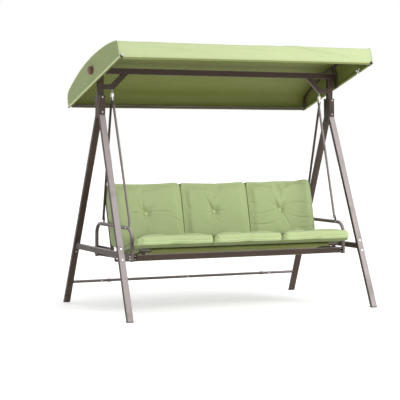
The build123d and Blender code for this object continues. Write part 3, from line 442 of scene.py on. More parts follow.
TURN = Matrix.Rotation(math.radians(-18.5), 3, "X")
CANOPY_HALF = 1.0985
FRONT, REAR = -0.550, 0.567
HEM, CROWN = -0.101, 0.099
SHOULDER = {FRONT: 0.020, REAR: 0.007}
SHOULDER_R = {FRONT: 0.025, REAR: 0.075}
CLOTH = 1.5 * MM
ROW = 11 * MM                           # spacing of the roof mesh from hem to hem
ARCH_X = sum(corner.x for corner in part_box("canopy_arch_right")) / 2


def placed(x, y, z):
    """A point drawn level about the tilt axis, put at the canopy's rest tilt."""
    return PIVOT + TURN @ Vector((x, y, z))


def roof_circle():
    """Radius and centre of the roof's curve, through both shoulders and the crown."""
    on_it = np.array([(FRONT, SHOULDER[FRONT]), (0.0, CROWN), (REAR, SHOULDER[REAR])])
    y, z, _ = np.linalg.solve(np.column_stack([2 * on_it, np.ones(3)]), (on_it ** 2).sum(axis=1)).tolist()
    return math.hypot(y, CROWN - z), y, z


def half_outline(edge):
    """Rows of (y, z, normal y, normal z) from one hem up to the crown."""
    big, mid_y, mid_z = roof_circle()
    sign = 1 if edge > 0 else -1
    r = SHOULDER_R[edge]
    corner_y = edge - sign * r
    corner_z = mid_z + math.sqrt((big - r) ** 2 - (corner_y - mid_y) ** 2)
    lean = math.atan2(abs(corner_y - mid_y), corner_z - mid_z)
    rise = corner_z - HEM
    uprights = int(rise / ROW) + 1
    rows = [(edge, HEM + rise * i / uprights, float(sign), 0.0) for i in range(uprights)]

    def bend(y, z, radius, start, turn, first, count):
        for i in range(first, count + 1):
            angle = start + turn * i / count
            n = (sign * math.sin(angle), math.cos(angle))
            rows.append((y + radius * n[0], z + radius * n[1], *n))

    turn = lean - math.pi / 2
    bend(corner_y, corner_z, r, math.pi / 2, turn, 0, int(-r * turn / ROW) + 4)
    crown_lean = math.asin(-sign * mid_y / big)
    bend(mid_y, mid_z, big, lean, crown_lean - lean, 1, int(big * (lean - crown_lean) / ROW))
    return rows


def near_line(x, s, start, end):
    """Distance from a line drawn on the cloth and how far along it the nearest point is."""
    dx, ds = end[0] - start[0], end[1] - start[1]
    share = clamp(((x - start[0]) * dx + (s - start[1]) * ds) / (dx * dx + ds * ds))
    return math.hypot(x - start[0] - share * dx, s - start[1] - share * ds), share


# Pulls in the roof cloth, drawn as x and distance up from the front hem: start, end, depth and width in mm.
ROOF_CREASES = [
    ((0.10, 0.150), (1.04, 0.030), 9, 9), ((-0.98, 0.085), (-0.35, 0.060), 7, 8),
    ((-0.80, 0.060), (-0.10, 0.022), 7, 8), ((-0.30, 0.095), (0.35, 0.075), 5, 9),
    ((-1.02, 0.130), (-0.72, 0.118), 6, 8), ((0.45, 0.040), (0.95, 0.055), 4, 8),
    ((-0.90, 0.420), (0.70, 0.440), 7, 12), ((-0.60, 0.640), (0.90, 0.610), 7, 12),
    ((-0.95, 0.900), (0.30, 0.930), 7, 12), ((-0.20, 1.070), (0.95, 1.050), 6, 12),
]
NOTCH_X, NOTCH_UP = 1.079, 20 * MM      # the roof's corners are cut away where the base bars pass


def roof_offset(x, s, length):
    """How far the roof cloth stands out from its outline, in metres: sag, streaks and pulls."""
    across = abs(x) / ARCH_X
    free = max(0.0, 1 - across ** 6)
    edge = min(s, length - s)
    sag = clamp((edge - 0.10) / 0.16) * (-15 * MM * max(0.0, 1 - across ** 2) - 3.0 * MM * free)
    streak = 3.4 * MM * smooth_noise(x * 0.9 + 3, s * 11, 1.3)
    ridge = 5.0 * MM * (abs(smooth_noise(x * 1.3, s * 19, 7.7)) - 0.25)
    pull = 0.0
    for start, end, depth, width in ROOF_CREASES:
        gap, share = near_line(x, s, start, end)
        gap /= width * MM
        fade = depth * MM * math.sin(math.pi * clamp(share, 0.03, 0.97)) ** 0.5
        pull += fade * (0.5 * math.exp(-((gap - 1.7) ** 2)) - math.exp(-(gap ** 2)))
    flow = free * (streak + ridge + pull) * min(1.0, edge / 0.035)
    skirt = (1 - min(1.0, edge / 0.11)) * free
    wave = 3.0 * MM * skirt * (1 + smooth_noise(x * 2.6, 0.4 if s < length / 2 else 9.4, 4.1))
    offset = sag + flow + wave
    return max(offset, -0.3 * MM) if edge < 0.045 else offset


def eased(share):
    return share * share * (3 - 2 * share)


def fullness(x, s):
    """How far the cloth is drawn up over the front shoulder, most to the right, and hangs low at the left hem."""
    drop = -5.5 * MM * (1 - x / CANOPY_HALF) * (1 - min(1.0, s / 0.13))
    lift = (7.0 + 3.5 * (x / CANOPY_HALF + 1)) * MM
    return drop + lift * eased(clamp((s - 0.02) / 0.11)) * eased(clamp((0.55 - s) / 0.33))


def canopy_roof():
    """The roof with its two valances: one sheet from hem to hem, pulled over the arches."""
    outline = half_outline(FRONT) + half_outline(REAR)[-2::-1]
    steps = lengths([row[:2] for row in outline])
    length = steps[-1]
    xs = np.linspace(-CANOPY_HALF, CANOPY_HALF, 181).tolist()
    cell = CANOPY_HALF / (len(xs) - 1)

    def point(i, j):
        y, z, ny, nz = outline[j]
        out = roof_offset(xs[i], steps[j], length)
        return placed(xs[i], y + ny * out, z + nz * out + fullness(xs[i], steps[j]))

    def keep(i, j):
        s = (steps[j] + steps[j + 1]) / 2
        return abs(xs[i] + cell) < NOTCH_X or min(s, length - s) > NOTCH_UP

    shape = sheet_mesh(len(outline), len(xs), point, lambda i, j: (xs[i], steps[j]), keep)
    obj = piece("canopy_roof", shape, ON_CANOPY, CANOPY_CLOTH, CANOPY_LINING)
    thickened(obj, CLOTH, 1)
    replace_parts(obj, "canopy_top")
    # The front binding gets the lighter binding cloth, a painted highlight; the rear one gets the dark coating cloth,
    # painted shade.
    for name, hem_row, seam_row, sign, face in (("front", 0, 2, -1, LIT_CANOPY_BINDING),
                                                ("rear", len(outline) - 1, len(outline) - 3, 1, CANOPY_LINING)):
        out = TURN @ Vector((0, sign, 0))
        hem = [point(i, hem_row) for i, x in enumerate(xs) if abs(x) < NOTCH_X + 2 * MM]
        hem_binding("canopy_hem_" + name, hem, out, face)
        row = [point(i, seam_row) + out * 0.3 * MM for i, x in enumerate(xs) if abs(x) < NOTCH_X]
        piece("canopy_hem_stitches_" + name, stitches(row, out), ON_CANOPY, THREAD)
    return {sign: [(y, z + fullness(sign * CANOPY_HALF, s), ny, nz) for (y, z, ny, nz), s in zip(outline, steps)]
            for sign in SIDES.values()}


def hem_binding(name, hem, out, face_cloth):
    """Bound edge: a tape folded round the hem, so that it stands a little proud on both sides."""
    up = TURN @ Vector((0, 0, 1))
    tall, thick = 6.5 * MM, 2.3 * MM
    section = [(thick * c, tall * s) for c, s in
               ((1, -0.7), (1, 0.8), (0.75, 1), (-0.75, 1), (-1, 0.8), (-1, -0.7), (-0.6, -1), (0.6, -1))]
    shape = sweep([p - out * (CLOTH / 2) + up * (tall - 2.5 * MM) for p in hem], section, up)
    obj = piece(name, shape, ON_CANOPY, face_cloth, CANOPY_LINING)
    # Faces turned inward get the dark coating cloth: painted shade on the inside of the tape.
    for face in obj.data.polygons:
        face.material_index = 1 if face.normal.dot(out) < -0.85 else 0
    return obj


END_HOLE_R = 17 * MM
BAR_R = 9 * MM
BAR_Z = HEM + 0.4 * MM + BAR_R
SLEEVE_R = 11.3 * MM
TIE_Y = -0.365
SLEEVE_OPEN = ((FRONT, FRONT + 0.040), (TIE_Y - 0.026, TIE_Y + 0.026), (-0.024, 0.024), (REAR - 0.03, REAR))


def end_offset(y, z, top):
    """How far an end panel stands out: slack in the open parts, none at the edge and round the knob."""
    from_edge = min(top - z, z - BAR_Z, REAR - y, y - FRONT)
    free = clamp((from_edge - 0.022) / 0.05) * clamp((math.hypot(y, z) - 0.045) / 0.08)
    folds = 2.2 * MM * smooth_noise(y * 7, z * 15, 5.5) + 1.5 * MM * smooth_noise(y * 19, z * 9, 2.2)
    pull = 0.0
    for angle in (0.35, 1.2, 2.0, 2.75, 3.7, 5.7):
        gap, share = near_line(y, z, (0, 0), (0.16 * math.cos(angle), 0.16 * math.sin(angle)))
        pull -= 1.2 * MM * share * (1 - share) * 4 * math.exp(-((gap / (7 * MM)) ** 2))
    return free * (folds - 2.5 * MM) + pull * clamp(from_edge / 0.03)


def canopy_end_panel(side, sign, outline):
    """End panel under the roof's curve, with a round hole for the knob's neck and a sleeve for the base bar."""
    name = "canopy_end_" + side
    ys, zs = np.array([row[:2] for row in outline if FRONT + 1e-6 < row[0] < REAR - 1e-6]).T
    columns, rows = 119, 24

    def top(y):
        return float(np.interp(y, ys, zs))

    def flat(i, j):
        y = FRONT + (REAR - FRONT) * i / (columns - 1)
        z = BAR_Z + (top(y) - BAR_Z) * j / (rows - 1)
        reach = math.hypot(y, z)
        push = (END_HOLE_R + reach * 1.2 / 2.2) / reach if 1e-9 < reach < 2.2 * END_HOLE_R else 1.0
        return y * push, z * push

    def point(i, j):
        y, z = flat(i, j)
        return placed(sign * (CANOPY_HALF + CLOTH / 2 + end_offset(y, z, top(y))), y, z)

    def keep(i, j):
        middle = np.mean([flat(i + a, j + b) for a in (0, 1) for b in (0, 1)], axis=0)
        return math.hypot(*middle) > END_HOLE_R

    obj = piece(name + "_panel", sheet_mesh(rows, columns, point, flat, keep, sign < 0), ON_CANOPY,
                SHADED_END_CLOTH, CANOPY_LINING)
    thickened(obj, CLOTH, 1)
    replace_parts(obj, name)
    row = [placed(sign * (CANOPY_HALF + CLOTH / 2 + 0.3 * MM), y, BAR_Z + 15 * MM) for y in (FRONT + 0.01, REAR - 0.01)]
    edge = [placed(sign * (CANOPY_HALF + 0.6 * MM), y + ny * 0.8 * MM, z + nz * 0.8 * MM) for y, z, ny, nz in outline]
    ups = [TURN @ Vector((0, ny, nz)) for _, _, ny, nz in outline]
    trims = [bar_sleeve(name + "_sleeve", sign),
             piece(name + "_hem_stitches", stitches(row, Vector((sign, 0, 0))), ON_CANOPY, THREAD),
             piece(name + "_piping", sweep(edge, circle(2.8 * MM, 10), ups), ON_CANOPY, LIT_CANOPY_BINDING)]
    if sign > 0:
        trims.append(tie_tape(name + "_tie", sign, TIE_Y))
    area = sum((b[0] - a[0]) * ((a[1] + b[1]) / 2 - HEM) for a, b in zip(outline, outline[1:]))


def bar_sleeve(name, sign):
    """The end panel's hem turned round the base bar, open on the inside at the ties and the bracket."""
    angles = np.radians(np.linspace(40, -292, 22))
    ys = np.linspace(FRONT + 2 * MM, REAR - 2 * MM, 150).tolist()

    def point(i, j):
        r = SLEEVE_R + 0.5 * MM * smooth_noise(ys[i] * 24, j * 0.4, 3.3) + (0.5 * MM if j < 3 else 0)
        return placed(sign * (ARCH_X + r * math.cos(angles[j])), ys[i], BAR_Z + r * math.sin(angles[j]))

    def keep(i, j):
        y = (ys[i] + ys[i + 1]) / 2
        return angles[j + 1] >= math.radians(-100) or not any(low < y < high for low, high in SLEEVE_OPEN)

    shape = sheet_mesh(len(angles), len(ys), point, lambda i, j: (ys[i], -SLEEVE_R * j * 0.27), keep, sign > 0)
    # The top of the sleeve gets the lighter binding cloth, a painted highlight, and the rest the dark coating cloth,
    # painted shade underneath and inside.
    slots = [0 if uv[1] > -SLEEVE_R * 0.27 * 5.5 else 1 for uv in shape[2][::4]]
    obj = piece(name, shape, ON_CANOPY, LIT_CANOPY_BINDING, CANOPY_LINING, slots=slots)
    thickened(obj, 1.2 * MM)
    return obj


def tie_tape(name, sign, y):
    """White tape knotted round the base bar on its inner side: a band, a knot, two bows and two tails."""
    def near(dx, dy, dz):
        return placed(sign * (ARCH_X - dx), y + dy, BAR_Z + dz)

    def strip(thick, wide):
        return [(a * thick, b * wide) for a, b in ((1, -1), (1, 1), (-1, 1), (-1, -1))]

    r = BAR_R + 0.7 * MM
    along = TURN @ Vector((0, 1, 0))
    band = [near(r * math.cos(a), 0, r * math.sin(a)) for a in np.linspace(0, 2 * math.pi, 25)[:-1]]
    knot = [(a * MM, b * 4.5 * MM) for a, b in ((0.2, -1.0), (4.2, -0.7), (6.0, 0.0), (4.2, 0.8), (0.2, 1.0))]
    parts = [sweep(band, strip(0.5 * MM, 6 * MM), along, closed=True),
             lathe(knot, near(r + 3 * MM, 0, 2 * MM), along, 12)]
    for run in ([(13, 3, 2), (19, 17, 20), (18, 34, 26), (15, 26, 4), (13, 4, 1)],
                [(13, -3, 2), (20, -16, 22), (19, -35, 24), (15, -25, 2), (13, -4, 1)],
                [(13, 2, 1), (19, 13, -10), (16, 19, -28)],
                [(13, -2, 1), (20, -12, -8), (16, -22, -26)]):
        line = bezier([near(a * MM, b * MM, c * MM) for a, b, c in run], 14)
        parts.append(sweep(line, strip(0.4 * MM, 7 * MM), Vector((sign * 0.5, 0.2, 0.8)).normalized()))
    return piece(name, merged(parts), ON_CANOPY, TAPE)


def bezier(points, count):
    """A smooth line that passes near the middle points and through both ends."""
    line = []
    for t in np.linspace(0, 1, count):
        level = points
        while len(level) > 1:
            level = [a.lerp(b, t) for a, b in zip(level, level[1:])]
        line.append(level[0])
    return line


# ===== slings =====

TUBE = (-0.400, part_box("sling_front_tube")[1].z - 0.013)
SLING_HALF = 0.782
SLING = 1.4 * MM
SLING_R = 0.013 + 0.4 * MM + SLING
LOWER_RAIL, LOWER_R = (0.040, 0.388), 0.011 + 0.4 * MM + SLING
BACK_FOOT, BACK_TOP = (0.057, 0.424), (0.217, 0.957)
BACK_R = 0.0125 + 0.4 * MM + SLING


def beside(point, radius, angle):
    return point[0] + radius * math.cos(angle), point[1] + radius * math.sin(angle)


def arc(centre, radius, start, end):
    return [beside(centre, radius, a) for a in np.linspace(start, end, max(3, int(abs(end - start) / 0.22) + 1))]


def line_between(a, b):
    count = max(2, int(math.dist(a, b) / 0.025) + 1)
    return [(a[0] + (b[0] - a[0]) * t, a[1] + (b[1] - a[1]) * t) for t in np.linspace(0, 1, count)]


def sling_sheet(node, line, sag):
    """A sling from a line in the YZ plane, with a slight sag across and sewn side hems."""
    depth, start, end = sag
    steps = lengths(line)
    xs = np.linspace(-SLING_HALF, SLING_HALF, 79).tolist()
    normals = []
    for k in range(len(line)):
        a, b = line[max(k - 1, 0)], line[min(k + 1, len(line) - 1)]
        size = math.dist(a, b)
        normals.append(Vector((0, -(b[1] - a[1]) / size, (b[0] - a[0]) / size)))

    def point(i, j):
        middle = math.sin(math.pi * clamp((steps[j] - start) / (steps[-1] - end)))
        return Vector((xs[i], *line[j])) - normals[j] * depth * middle * (1 - (xs[i] / SLING_HALF) ** 4)

    shape = sheet_mesh(len(line), len(xs), point, lambda i, j: (xs[i], steps[j]))
    obj = piece(node + "_cloth", shape, ON_SLING, SLING_CLOTH)
    thickened(obj, SLING)
    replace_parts(obj, node)
    for side, i in (("left", 1), ("right", len(xs) - 2)):
        row = [point(i, j) + normal * 0.3 * MM for j, normal in enumerate(normals)]
        piece(f"{node}_cloth_stitches_{side}", stitches(row, normals), ON_SLING, THREAD)


def build_slings():
    top = math.pi / 2 + math.atan2(LOWER_RAIL[1] + LOWER_R - TUBE[1] - SLING_R, LOWER_RAIL[0] - TUBE[0])
    under = -1.75
    seat = [(TUBE[0] + 0.052, TUBE[1] - 0.0045), beside(TUBE, SLING_R, under)]
    seat += arc(TUBE, SLING_R, under, top - 2 * math.pi)[1:]
    seat += line_between(beside(TUBE, SLING_R, top), beside(LOWER_RAIL, LOWER_R, top))[1:]
    seat += arc(LOWER_RAIL, LOWER_R, top, top - 4.4)[1:]
    sling_sheet("seat_sling", seat, (4 * MM, 0.10, 0.16))

    foot, crown = np.array(BACK_FOOT), np.array(BACK_TOP)
    slope = (crown - foot) / math.dist(crown, foot)
    out = np.array((-slope[1], slope[0]))
    facing = math.atan2(out[1], out[0])
    low = (LOWER_RAIL[0] - 0.006, LOWER_RAIL[1] + LOWER_R + 0.012)
    near, crest = foot + out * BACK_R + slope * 0.06, crown + out * BACK_R
    back = line_between(low, near) + line_between(near, crest)[1:]
    back += arc(BACK_TOP, BACK_R, facing, facing - 3.3)[1:]
    back.append(tuple(np.array(back[-1]) - slope * 0.045 + out * 0.019))
    sling_sheet("back_sling", back, (5 * MM, 0.0, 0.11))


# ===== cushions =====

CELL = 12 * MM
FILL_FRAMES = 20
PROFILES = {     # a side view's four corners: low and high at the start, high and low at the far end
    "seat": ((-0.507, 0.541), (-0.507, 0.622), (-0.012, 0.474), (0.020, 0.421)),
    "back": ((0.0555, 0.4855), (-0.018, 0.486), (0.096, 0.987), (0.2075, 0.9711)),
}
EDGE_SHIFTS = {"seat": (0, 17, 10, 0), "back": (-13, 0, 0, 13)}     # mm the four edges of a row are moved by
# Pulls in each cushion's face, as lines of (across, up) from 0 to 1: line, depth and width in mm.
CREASES = {
    ("back", "left"): [
        ([(0.48, 0.525), (0.62, 0.55), (0.74, 0.55), (0.82, 0.53)], 7.5, 8),
        ([(0.44, 0.525), (0.34, 0.535), (0.25, 0.55)], 6.5, 8), ([(0.455, 0.555), (0.43, 0.64), (0.43, 0.72)], 6, 8),
        ([(0.475, 0.50), (0.51, 0.40), (0.55, 0.31)], 4.5, 9), ([(0.84, 0.46), (0.92, 0.42), (0.985, 0.38)], 5.5, 7),
        ([(0.90, 0.72), (0.97, 0.69)], 4.5, 7),
    ],
    ("back", "middle"): [
        ([(0.45, 0.555), (0.40, 0.66), (0.34, 0.77)], 7, 8), ([(0.44, 0.525), (0.38, 0.52), (0.31, 0.535)], 6, 8),
        ([(0.495, 0.53), (0.58, 0.545), (0.65, 0.555)], 6, 8), ([(0.475, 0.50), (0.49, 0.41), (0.53, 0.34)], 4.5, 9),
    ],
    ("back", "right"): [
        ([(0.465, 0.56), (0.42, 0.66), (0.37, 0.77)], 7, 8), ([(0.455, 0.545), (0.38, 0.605), (0.31, 0.67)], 6, 8),
        ([(0.45, 0.53), (0.33, 0.52), (0.18, 0.48), (0.06, 0.47)], 6.5, 8),
        ([(0.51, 0.55), (0.61, 0.62), (0.76, 0.655), (0.97, 0.61)], 8, 8),
        ([(0.66, 0.44), (0.76, 0.40), (0.90, 0.40), (0.98, 0.42)], 7, 8),
        ([(0.03, 0.31), (0.16, 0.30), (0.34, 0.32), (0.42, 0.36)], 7, 8),
        ([(0.50, 0.50), (0.55, 0.39), (0.60, 0.26)], 4.5, 10), ([(0.68, 0.24), (0.82, 0.23), (0.98, 0.27)], 6.5, 8),
        ([(0.01, 0.68), (0.07, 0.66)], 5.5, 7), ([(0.93, 0.52), (0.985, 0.51)], 5.5, 7),
        ([(0.94, 0.33), (0.99, 0.32)], 4.5, 7),
    ],
}
for side_name, shift_x in (("left", 0.0), ("middle", 0.01), ("right", -0.01)):
    CREASES["seat", side_name] = [
        ([(0.48 + shift_x, 0.47), (0.40 + shift_x, 0.49), (0.30, 0.48)], 5, 8),
        ([(0.52 + shift_x, 0.47), (0.62, 0.46), (0.72, 0.48)], 5, 8),
        ([(0.50 + shift_x, 0.50), (0.48, 0.60), (0.45, 0.70)], 4.5, 8),
        ([(0.51 + shift_x, 0.44), (0.53, 0.33), (0.55, 0.24)], 4.5, 8),
    ]
BUTTONS = {("back", "left"): (0.465, 0.53), ("back", "middle"): (0.465, 0.53), ("back", "right"): (0.48, 0.535),
           ("seat", "left"): (0.50, 0.47), ("seat", "middle"): (0.51, 0.47), ("seat", "right"): (0.49, 0.47)}
TUFT = {"back": 22 * MM, "seat": 19 * MM}
CORNERS = {"back": (18 * MM, 26 * MM), "seat": (20 * MM, 12 * MM)}     # radii at the start and at the far end
LIP = 0.36                              # where the seat cushion's front seam runs, from its base to its top
BULGE = {"back": 17 * MM, "seat": 24 * MM}
RISE = {"left": (15 * MM, 15 * MM), "middle": (13 * MM, 12 * MM), "right": (13 * MM, 27 * MM)}
AHEAD_Y = -0.425                        # in front of this the seat cushions pass the armrest's front bend


class Cushion:
    """A block of cloth panels: a across X, b along its length, c from the resting face to the free face."""

    def __init__(self, kind, side):
        self.kind, self.side, self.node = kind, side, f"{kind}_cushion_{side}"
        low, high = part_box(self.node)
        place = ("left", "middle", "right").index(side)
        self.x0 = low.x + EDGE_SHIFTS[kind][place] * MM
        self.x1 = high.x + EDGE_SHIFTS[kind][place + 1] * MM
        outer = [side == "left", side == "right"]
        self.grow = [(3 * MM if kind == "seat" else 8 * MM) if end else 1.2 * MM for end in outer]
        self.ahead = [28 * MM * end * (kind == "seat") for end in outer]
        self.slack = 0.05 if (kind, side) == ("back", "right") else 0.025
        self.corners = [Vector((0, *v)) for v in PROFILES[kind]]
        low_start, high_start, high_end, low_end = self.corners
        run = high_end - high_start
        self.width, self.length = self.x1 - self.x0, run.length
        self.depth = (high_start - low_start).length
        self.along = np.array(run.normalized())
        self.free = Vector((1, 0, 0)).cross(run).normalized()
        self.build(round(self.width / CELL), round(self.length / CELL),
                   max(4, round((self.depth + (high_end - low_end).length) / 2 / CELL)))

    def at(self, a, b, c):
        low_start, high_start, high_end, low_end = self.corners
        p = low_start.lerp(low_end, b).lerp(high_start.lerp(high_end, b), c)
        return Vector((self.x0 + self.width * a, p.y, p.z))

    def build(self, na, nb, nc):
        """Panels of a closed block; shared edge points are joined."""
        index, self.faces, self.uvs = {}, [], []

        def panel(m, n, corner, flip, size):
            for p in range(m):
                for q in range(n):
                    ring = [(p, q), (p + 1, q), (p + 1, q + 1), (p, q + 1)]
                    if flip:
                        ring.reverse()
                    self.faces.append([index.setdefault(corner(*r), len(index)) for r in ring])
                    self.uvs += [(r[0] / m * size[0], r[1] / n * size[1]) for r in ring]

        wide, long, deep = self.width, self.length, self.depth
        panel(na, nb, lambda p, q: (p, q, nc), False, (wide, long))
        panel(na, nb, lambda p, q: (p, q, 0), True, (wide, long))
        panel(nb, nc, lambda p, q: (0, p, q), True, (long, deep))
        panel(nb, nc, lambda p, q: (na, p, q), False, (long, deep))
        panel(na, nc, lambda p, q: (p, 0, q), False, (wide, deep))
        panel(na, nc, lambda p, q: (p, nb, q), True, (wide, deep))
        self.cells = np.array(list(index))
        self.params = self.cells / (na, nb, nc)
        self.points = np.array([tuple(self.at(*p)) for p in self.params])

    def outward(self):
        """Unit normals out of the block at each point."""
        normals = np.zeros_like(self.points)
        for face in self.faces:
            a, b, c, d = self.points[face]
            normals[face] += np.cross(c - a, d - b)
        return normals / np.linalg.norm(normals, axis=1)[:, None]

    def limits(self, points):
        """How far left and right the cushion may reach at each point."""
        past = soft((AHEAD_Y - points[:, 1]) / (20 * MM))
        return self.x0 - self.grow[0] - past * self.ahead[0], self.x1 + self.grow[1] + past * self.ahead[1]


def relaxed(cushion, points, tied):
    """Moves each point towards the middle of its neighbours, twice, which rounds the edges."""
    faces = np.array(cushion.faces)
    pairs = np.stack([faces, np.roll(faces, -1, axis=1)], axis=2).reshape(-1, 2)
    pairs = np.concatenate([pairs, pairs[:, ::-1]])
    count = np.bincount(pairs[:, 0], minlength=len(points))[:, None]
    for _ in range(2):
        total = np.zeros_like(points)
        np.add.at(total, pairs[:, 0], points[pairs[:, 1]])
        points = points + 0.5 * (1 - tied[:, None]) * (total / count - points)
    return points


def scallop(a):
    """Height of the seat cushion's front seam, which droops between its tacks."""
    return LIP - 0.06 * np.abs(np.sin(2 * np.pi * a))


def cornered(cushion):
    """The block's points with its four corners rounded."""
    points = cushion.points.copy()
    a, b, _ = cushion.params.T
    start_r, end_r = CORNERS[cushion.kind]
    for sign_a, in_a in ((1, a), (-1, 1 - a)):
        for sign_b, in_b, radius in ((1, b, start_r), (-1, 1 - b, end_r)):
            u, v = 1 - in_a * cushion.width / radius, 1 - in_b * cushion.length / radius
            pull = 1 - np.maximum(u, v) / np.maximum(np.hypot(u, v), 1e-9)
            pull = radius * np.where((u > 0) & (v > 0), pull, 0.0)
            points[:, 0] += sign_a * u * pull
            points += np.outer(sign_b * v * pull, cushion.along)
    return points


def tufted(cushion):
    """Points before the cloth is filled, with a pit where the button is tied down, and which are tied."""
    a, b, c = cushion.params.T
    at = BUTTONS[cushion.kind, cushion.side]
    gap = np.hypot((a - at[0]) * cushion.width, (b - at[1]) * cushion.length)
    pit = TUFT[cushion.kind] * np.exp(-gap / (42 * MM)) * soft((c - 0.5) * 2)
    tied = np.where((gap < 16 * MM) & (c > 0.99), 1.0, 0.0)
    return cornered(cushion) - np.outer(pit, cushion.free), tied


def coordinates(items, key):
    found = np.zeros(len(items) * 3, np.float32)
    items.foreach_get(key, found)
    return found.reshape(-1, 3).astype(float)


def cloth_filled(jobs):
    """Fills every cushion at once with Blender's cloth and pressure, and returns how far each point moved."""
    scene = bpy.context.scene
    made = []
    for cushion, start, tied in jobs:
        obj = linked("fill", new_mesh("fill", start, cushion.faces))
        obj.vertex_groups.new(name="tied").add(np.nonzero(tied)[0].tolist(), 1.0, "REPLACE")
        modifier = obj.modifiers.new("cloth", "CLOTH")
        settings = {"quality": 6, "mass": 0.25, "tension_stiffness": 18, "compression_stiffness": 12,
                    "shear_stiffness": 6, "bending_stiffness": 0.6, "use_pressure": True,
                    "uniform_pressure_force": 4.0, "shrink_min": -cushion.slack, "vertex_group_mass": "tied"}
        for key, value in settings.items():
            setattr(modifier.settings, key, value)
        modifier.settings.effector_weights.gravity = 0
        modifier.point_cache.frame_start, modifier.point_cache.frame_end = 1, FILL_FRAMES
        made.append((obj, start))
    for number in range(1, FILL_FRAMES + 1):
        scene.frame_set(number)
    graph = bpy.context.evaluated_depsgraph_get()
    moved = [coordinates(obj.evaluated_get(graph).data.vertices, "co") - start for obj, start in made]
    for obj, _ in made:
        bpy.data.objects.remove(obj, do_unlink=True)
    scene.frame_set(1)
    return moved


def spread_sides(cushion, points):
    """Draws the two ends out to the neighbour or the armrest, as packed cushions lie, least at the corners."""
    a, b, c = cushion.params.T
    rows, levels = cushion.cells[:, 1], cushion.cells[:, 2]
    corner = soft(np.minimum(b, 1 - b) * cushion.length / (55 * MM)) ** 0.5
    weight = (0.12 + 0.86 * corner) * np.where(c > 0.95, 0.86, 1.0)
    for end, away in enumerate((a, 1 - a)):
        side = away < 1e-6
        need = np.zeros((rows.max() + 1, levels.max() + 1))
        need[rows[side], levels[side]] = (cushion.limits(points)[end] - points[:, 0])[side]
        points[:, 0] += need[rows, levels] * weight * np.exp(-away * cushion.width / (80 * MM))
    return points


def squared(cushion, points):
    """A back cushion's face brought level with its middle near the edges, and its top raised to its real height."""
    a, b, c = cushion.params.T
    edge = np.minimum(np.minimum(a, 1 - a) * cushion.width, np.minimum(b, 1 - b) * cushion.length)
    forward = 6 * MM * np.exp(-edge / (60 * MM)) * soft((c - 0.55) / 0.45)
    left, right = RISE[cushion.side]
    rise = (left + (right - left) * a) * soft((b - 0.6) / 0.4) ** 1.5
    return points + np.outer(forward, cushion.free) + np.outer(rise, cushion.along)


def rolled(cushion, points):
    """A seat cushion's plump front roll."""
    a, b, c = cushion.params.T
    back = b * cushion.length
    across = np.sin(np.pi * soft(a)) ** 0.35
    lift = 19 * MM * np.exp(-((np.maximum(back - 45 * MM, 0) / (110 * MM)) ** 2)) * soft((c - 0.3) / 0.5)
    points[:, 2] += lift * (0.35 + 0.65 * across)
    points[:, 1] -= 9 * MM * soft(1 - back / (45 * MM)) * across * np.sin(np.pi * soft((c - 0.25) / 0.75))
    return points


def undercut(cushion, points, params):
    """Turns the strip below the front seam back under the roll."""
    a, b, c = params.T
    below, lower = soft((scallop(a) - c) / 0.09), soft(1 - c / LIP)
    points[:, 1] += (17 * MM * below + 14 * MM * lower) * soft(1 - b * cushion.length / (80 * MM))
    return points


def pressed(cushion, points):
    """Flattens the cushion where it rests: on its sling, against its neighbours and the armrest."""
    points[:, 0] = np.clip(points[:, 0], *cushion.limits(points))
    low_start, _, _, low_end = cushion.corners
    down = -Vector((1, 0, 0)).cross(low_end - low_start).normalized()
    over = (points - np.array(low_start)) @ np.array(down)
    return points - np.outer(np.maximum(over - 0.3 * MM, 0), down)


def creased(cushion, points, params):
    """Presses the crease lines into the free face, with a soft lip above each."""
    size = np.array((cushion.width, cushion.length))
    place = params[:, :2] * size
    shift = np.zeros(len(points))
    for line, depth, spread in CREASES[cushion.kind, cushion.side]:
        line = np.array(line) * size
        best = np.full(len(points), 1e9)
        above, fade = np.zeros(len(points)), np.zeros(len(points))
        for k, (start, end) in enumerate(zip(line, line[1:])):
            d = end - start
            share = soft((place - start) @ d / (d @ d))
            off_x, off_up = (place - start - np.outer(share, d)).T
            gap = np.hypot(off_x, off_up)
            closer = gap < best
            best = np.where(closer, gap, best)
            way = np.sign(d[0] if abs(d[0]) > abs(d[1]) else d[1])
            above = np.where(closer, np.sign(off_up * d[0] - off_x * d[1]) * way, above)
            ends = np.sin(np.pi * np.clip((k + share) / (len(line) - 1), 0.06, 0.94)) ** 0.6
            fade = np.where(closer, ends, fade)
        best /= spread * MM
        lip = np.where(above > 0, 0.45 * np.exp(-((best - 1.5) ** 2)), 0.20 * np.exp(-(((best - 1.5) / 1.6) ** 2)))
        shift += depth * MM * fade * (lip - np.exp(-(best ** 2)))
    return points + np.outer(shift * soft((params[:, 2] - 0.8) / 0.2), cushion.free)


def refined(cushion, points):
    """One level of subdivision of points and of their places on the panels."""
    obj = linked("fine", new_mesh("fine", points, cushion.faces, cushion.uvs))
    place = obj.data.attributes.new("place", "FLOAT_VECTOR", "POINT")
    place.data.foreach_set("vector", cushion.params.astype(np.float32).ravel())
    divide = obj.modifiers.new("divide", "SUBSURF")
    divide.levels = divide.render_levels = 1
    applied(obj)
    fine = obj.data
    bpy.data.objects.remove(obj, do_unlink=True)
    return fine, coordinates(fine.vertices, "co"), coordinates(fine.attributes["place"].data, "vector")


def tree_of(mesh, points):
    """The mesh moved to these points, as a tree to search its surface."""
    mesh.vertices.foreach_set("co", points.astype(np.float32).ravel())
    mesh.update()
    mesh.calc_loop_triangles()
    return BVHTree.FromPolygons([v.co.copy() for v in mesh.vertices], [tuple(t.vertices) for t in mesh.loop_triangles])


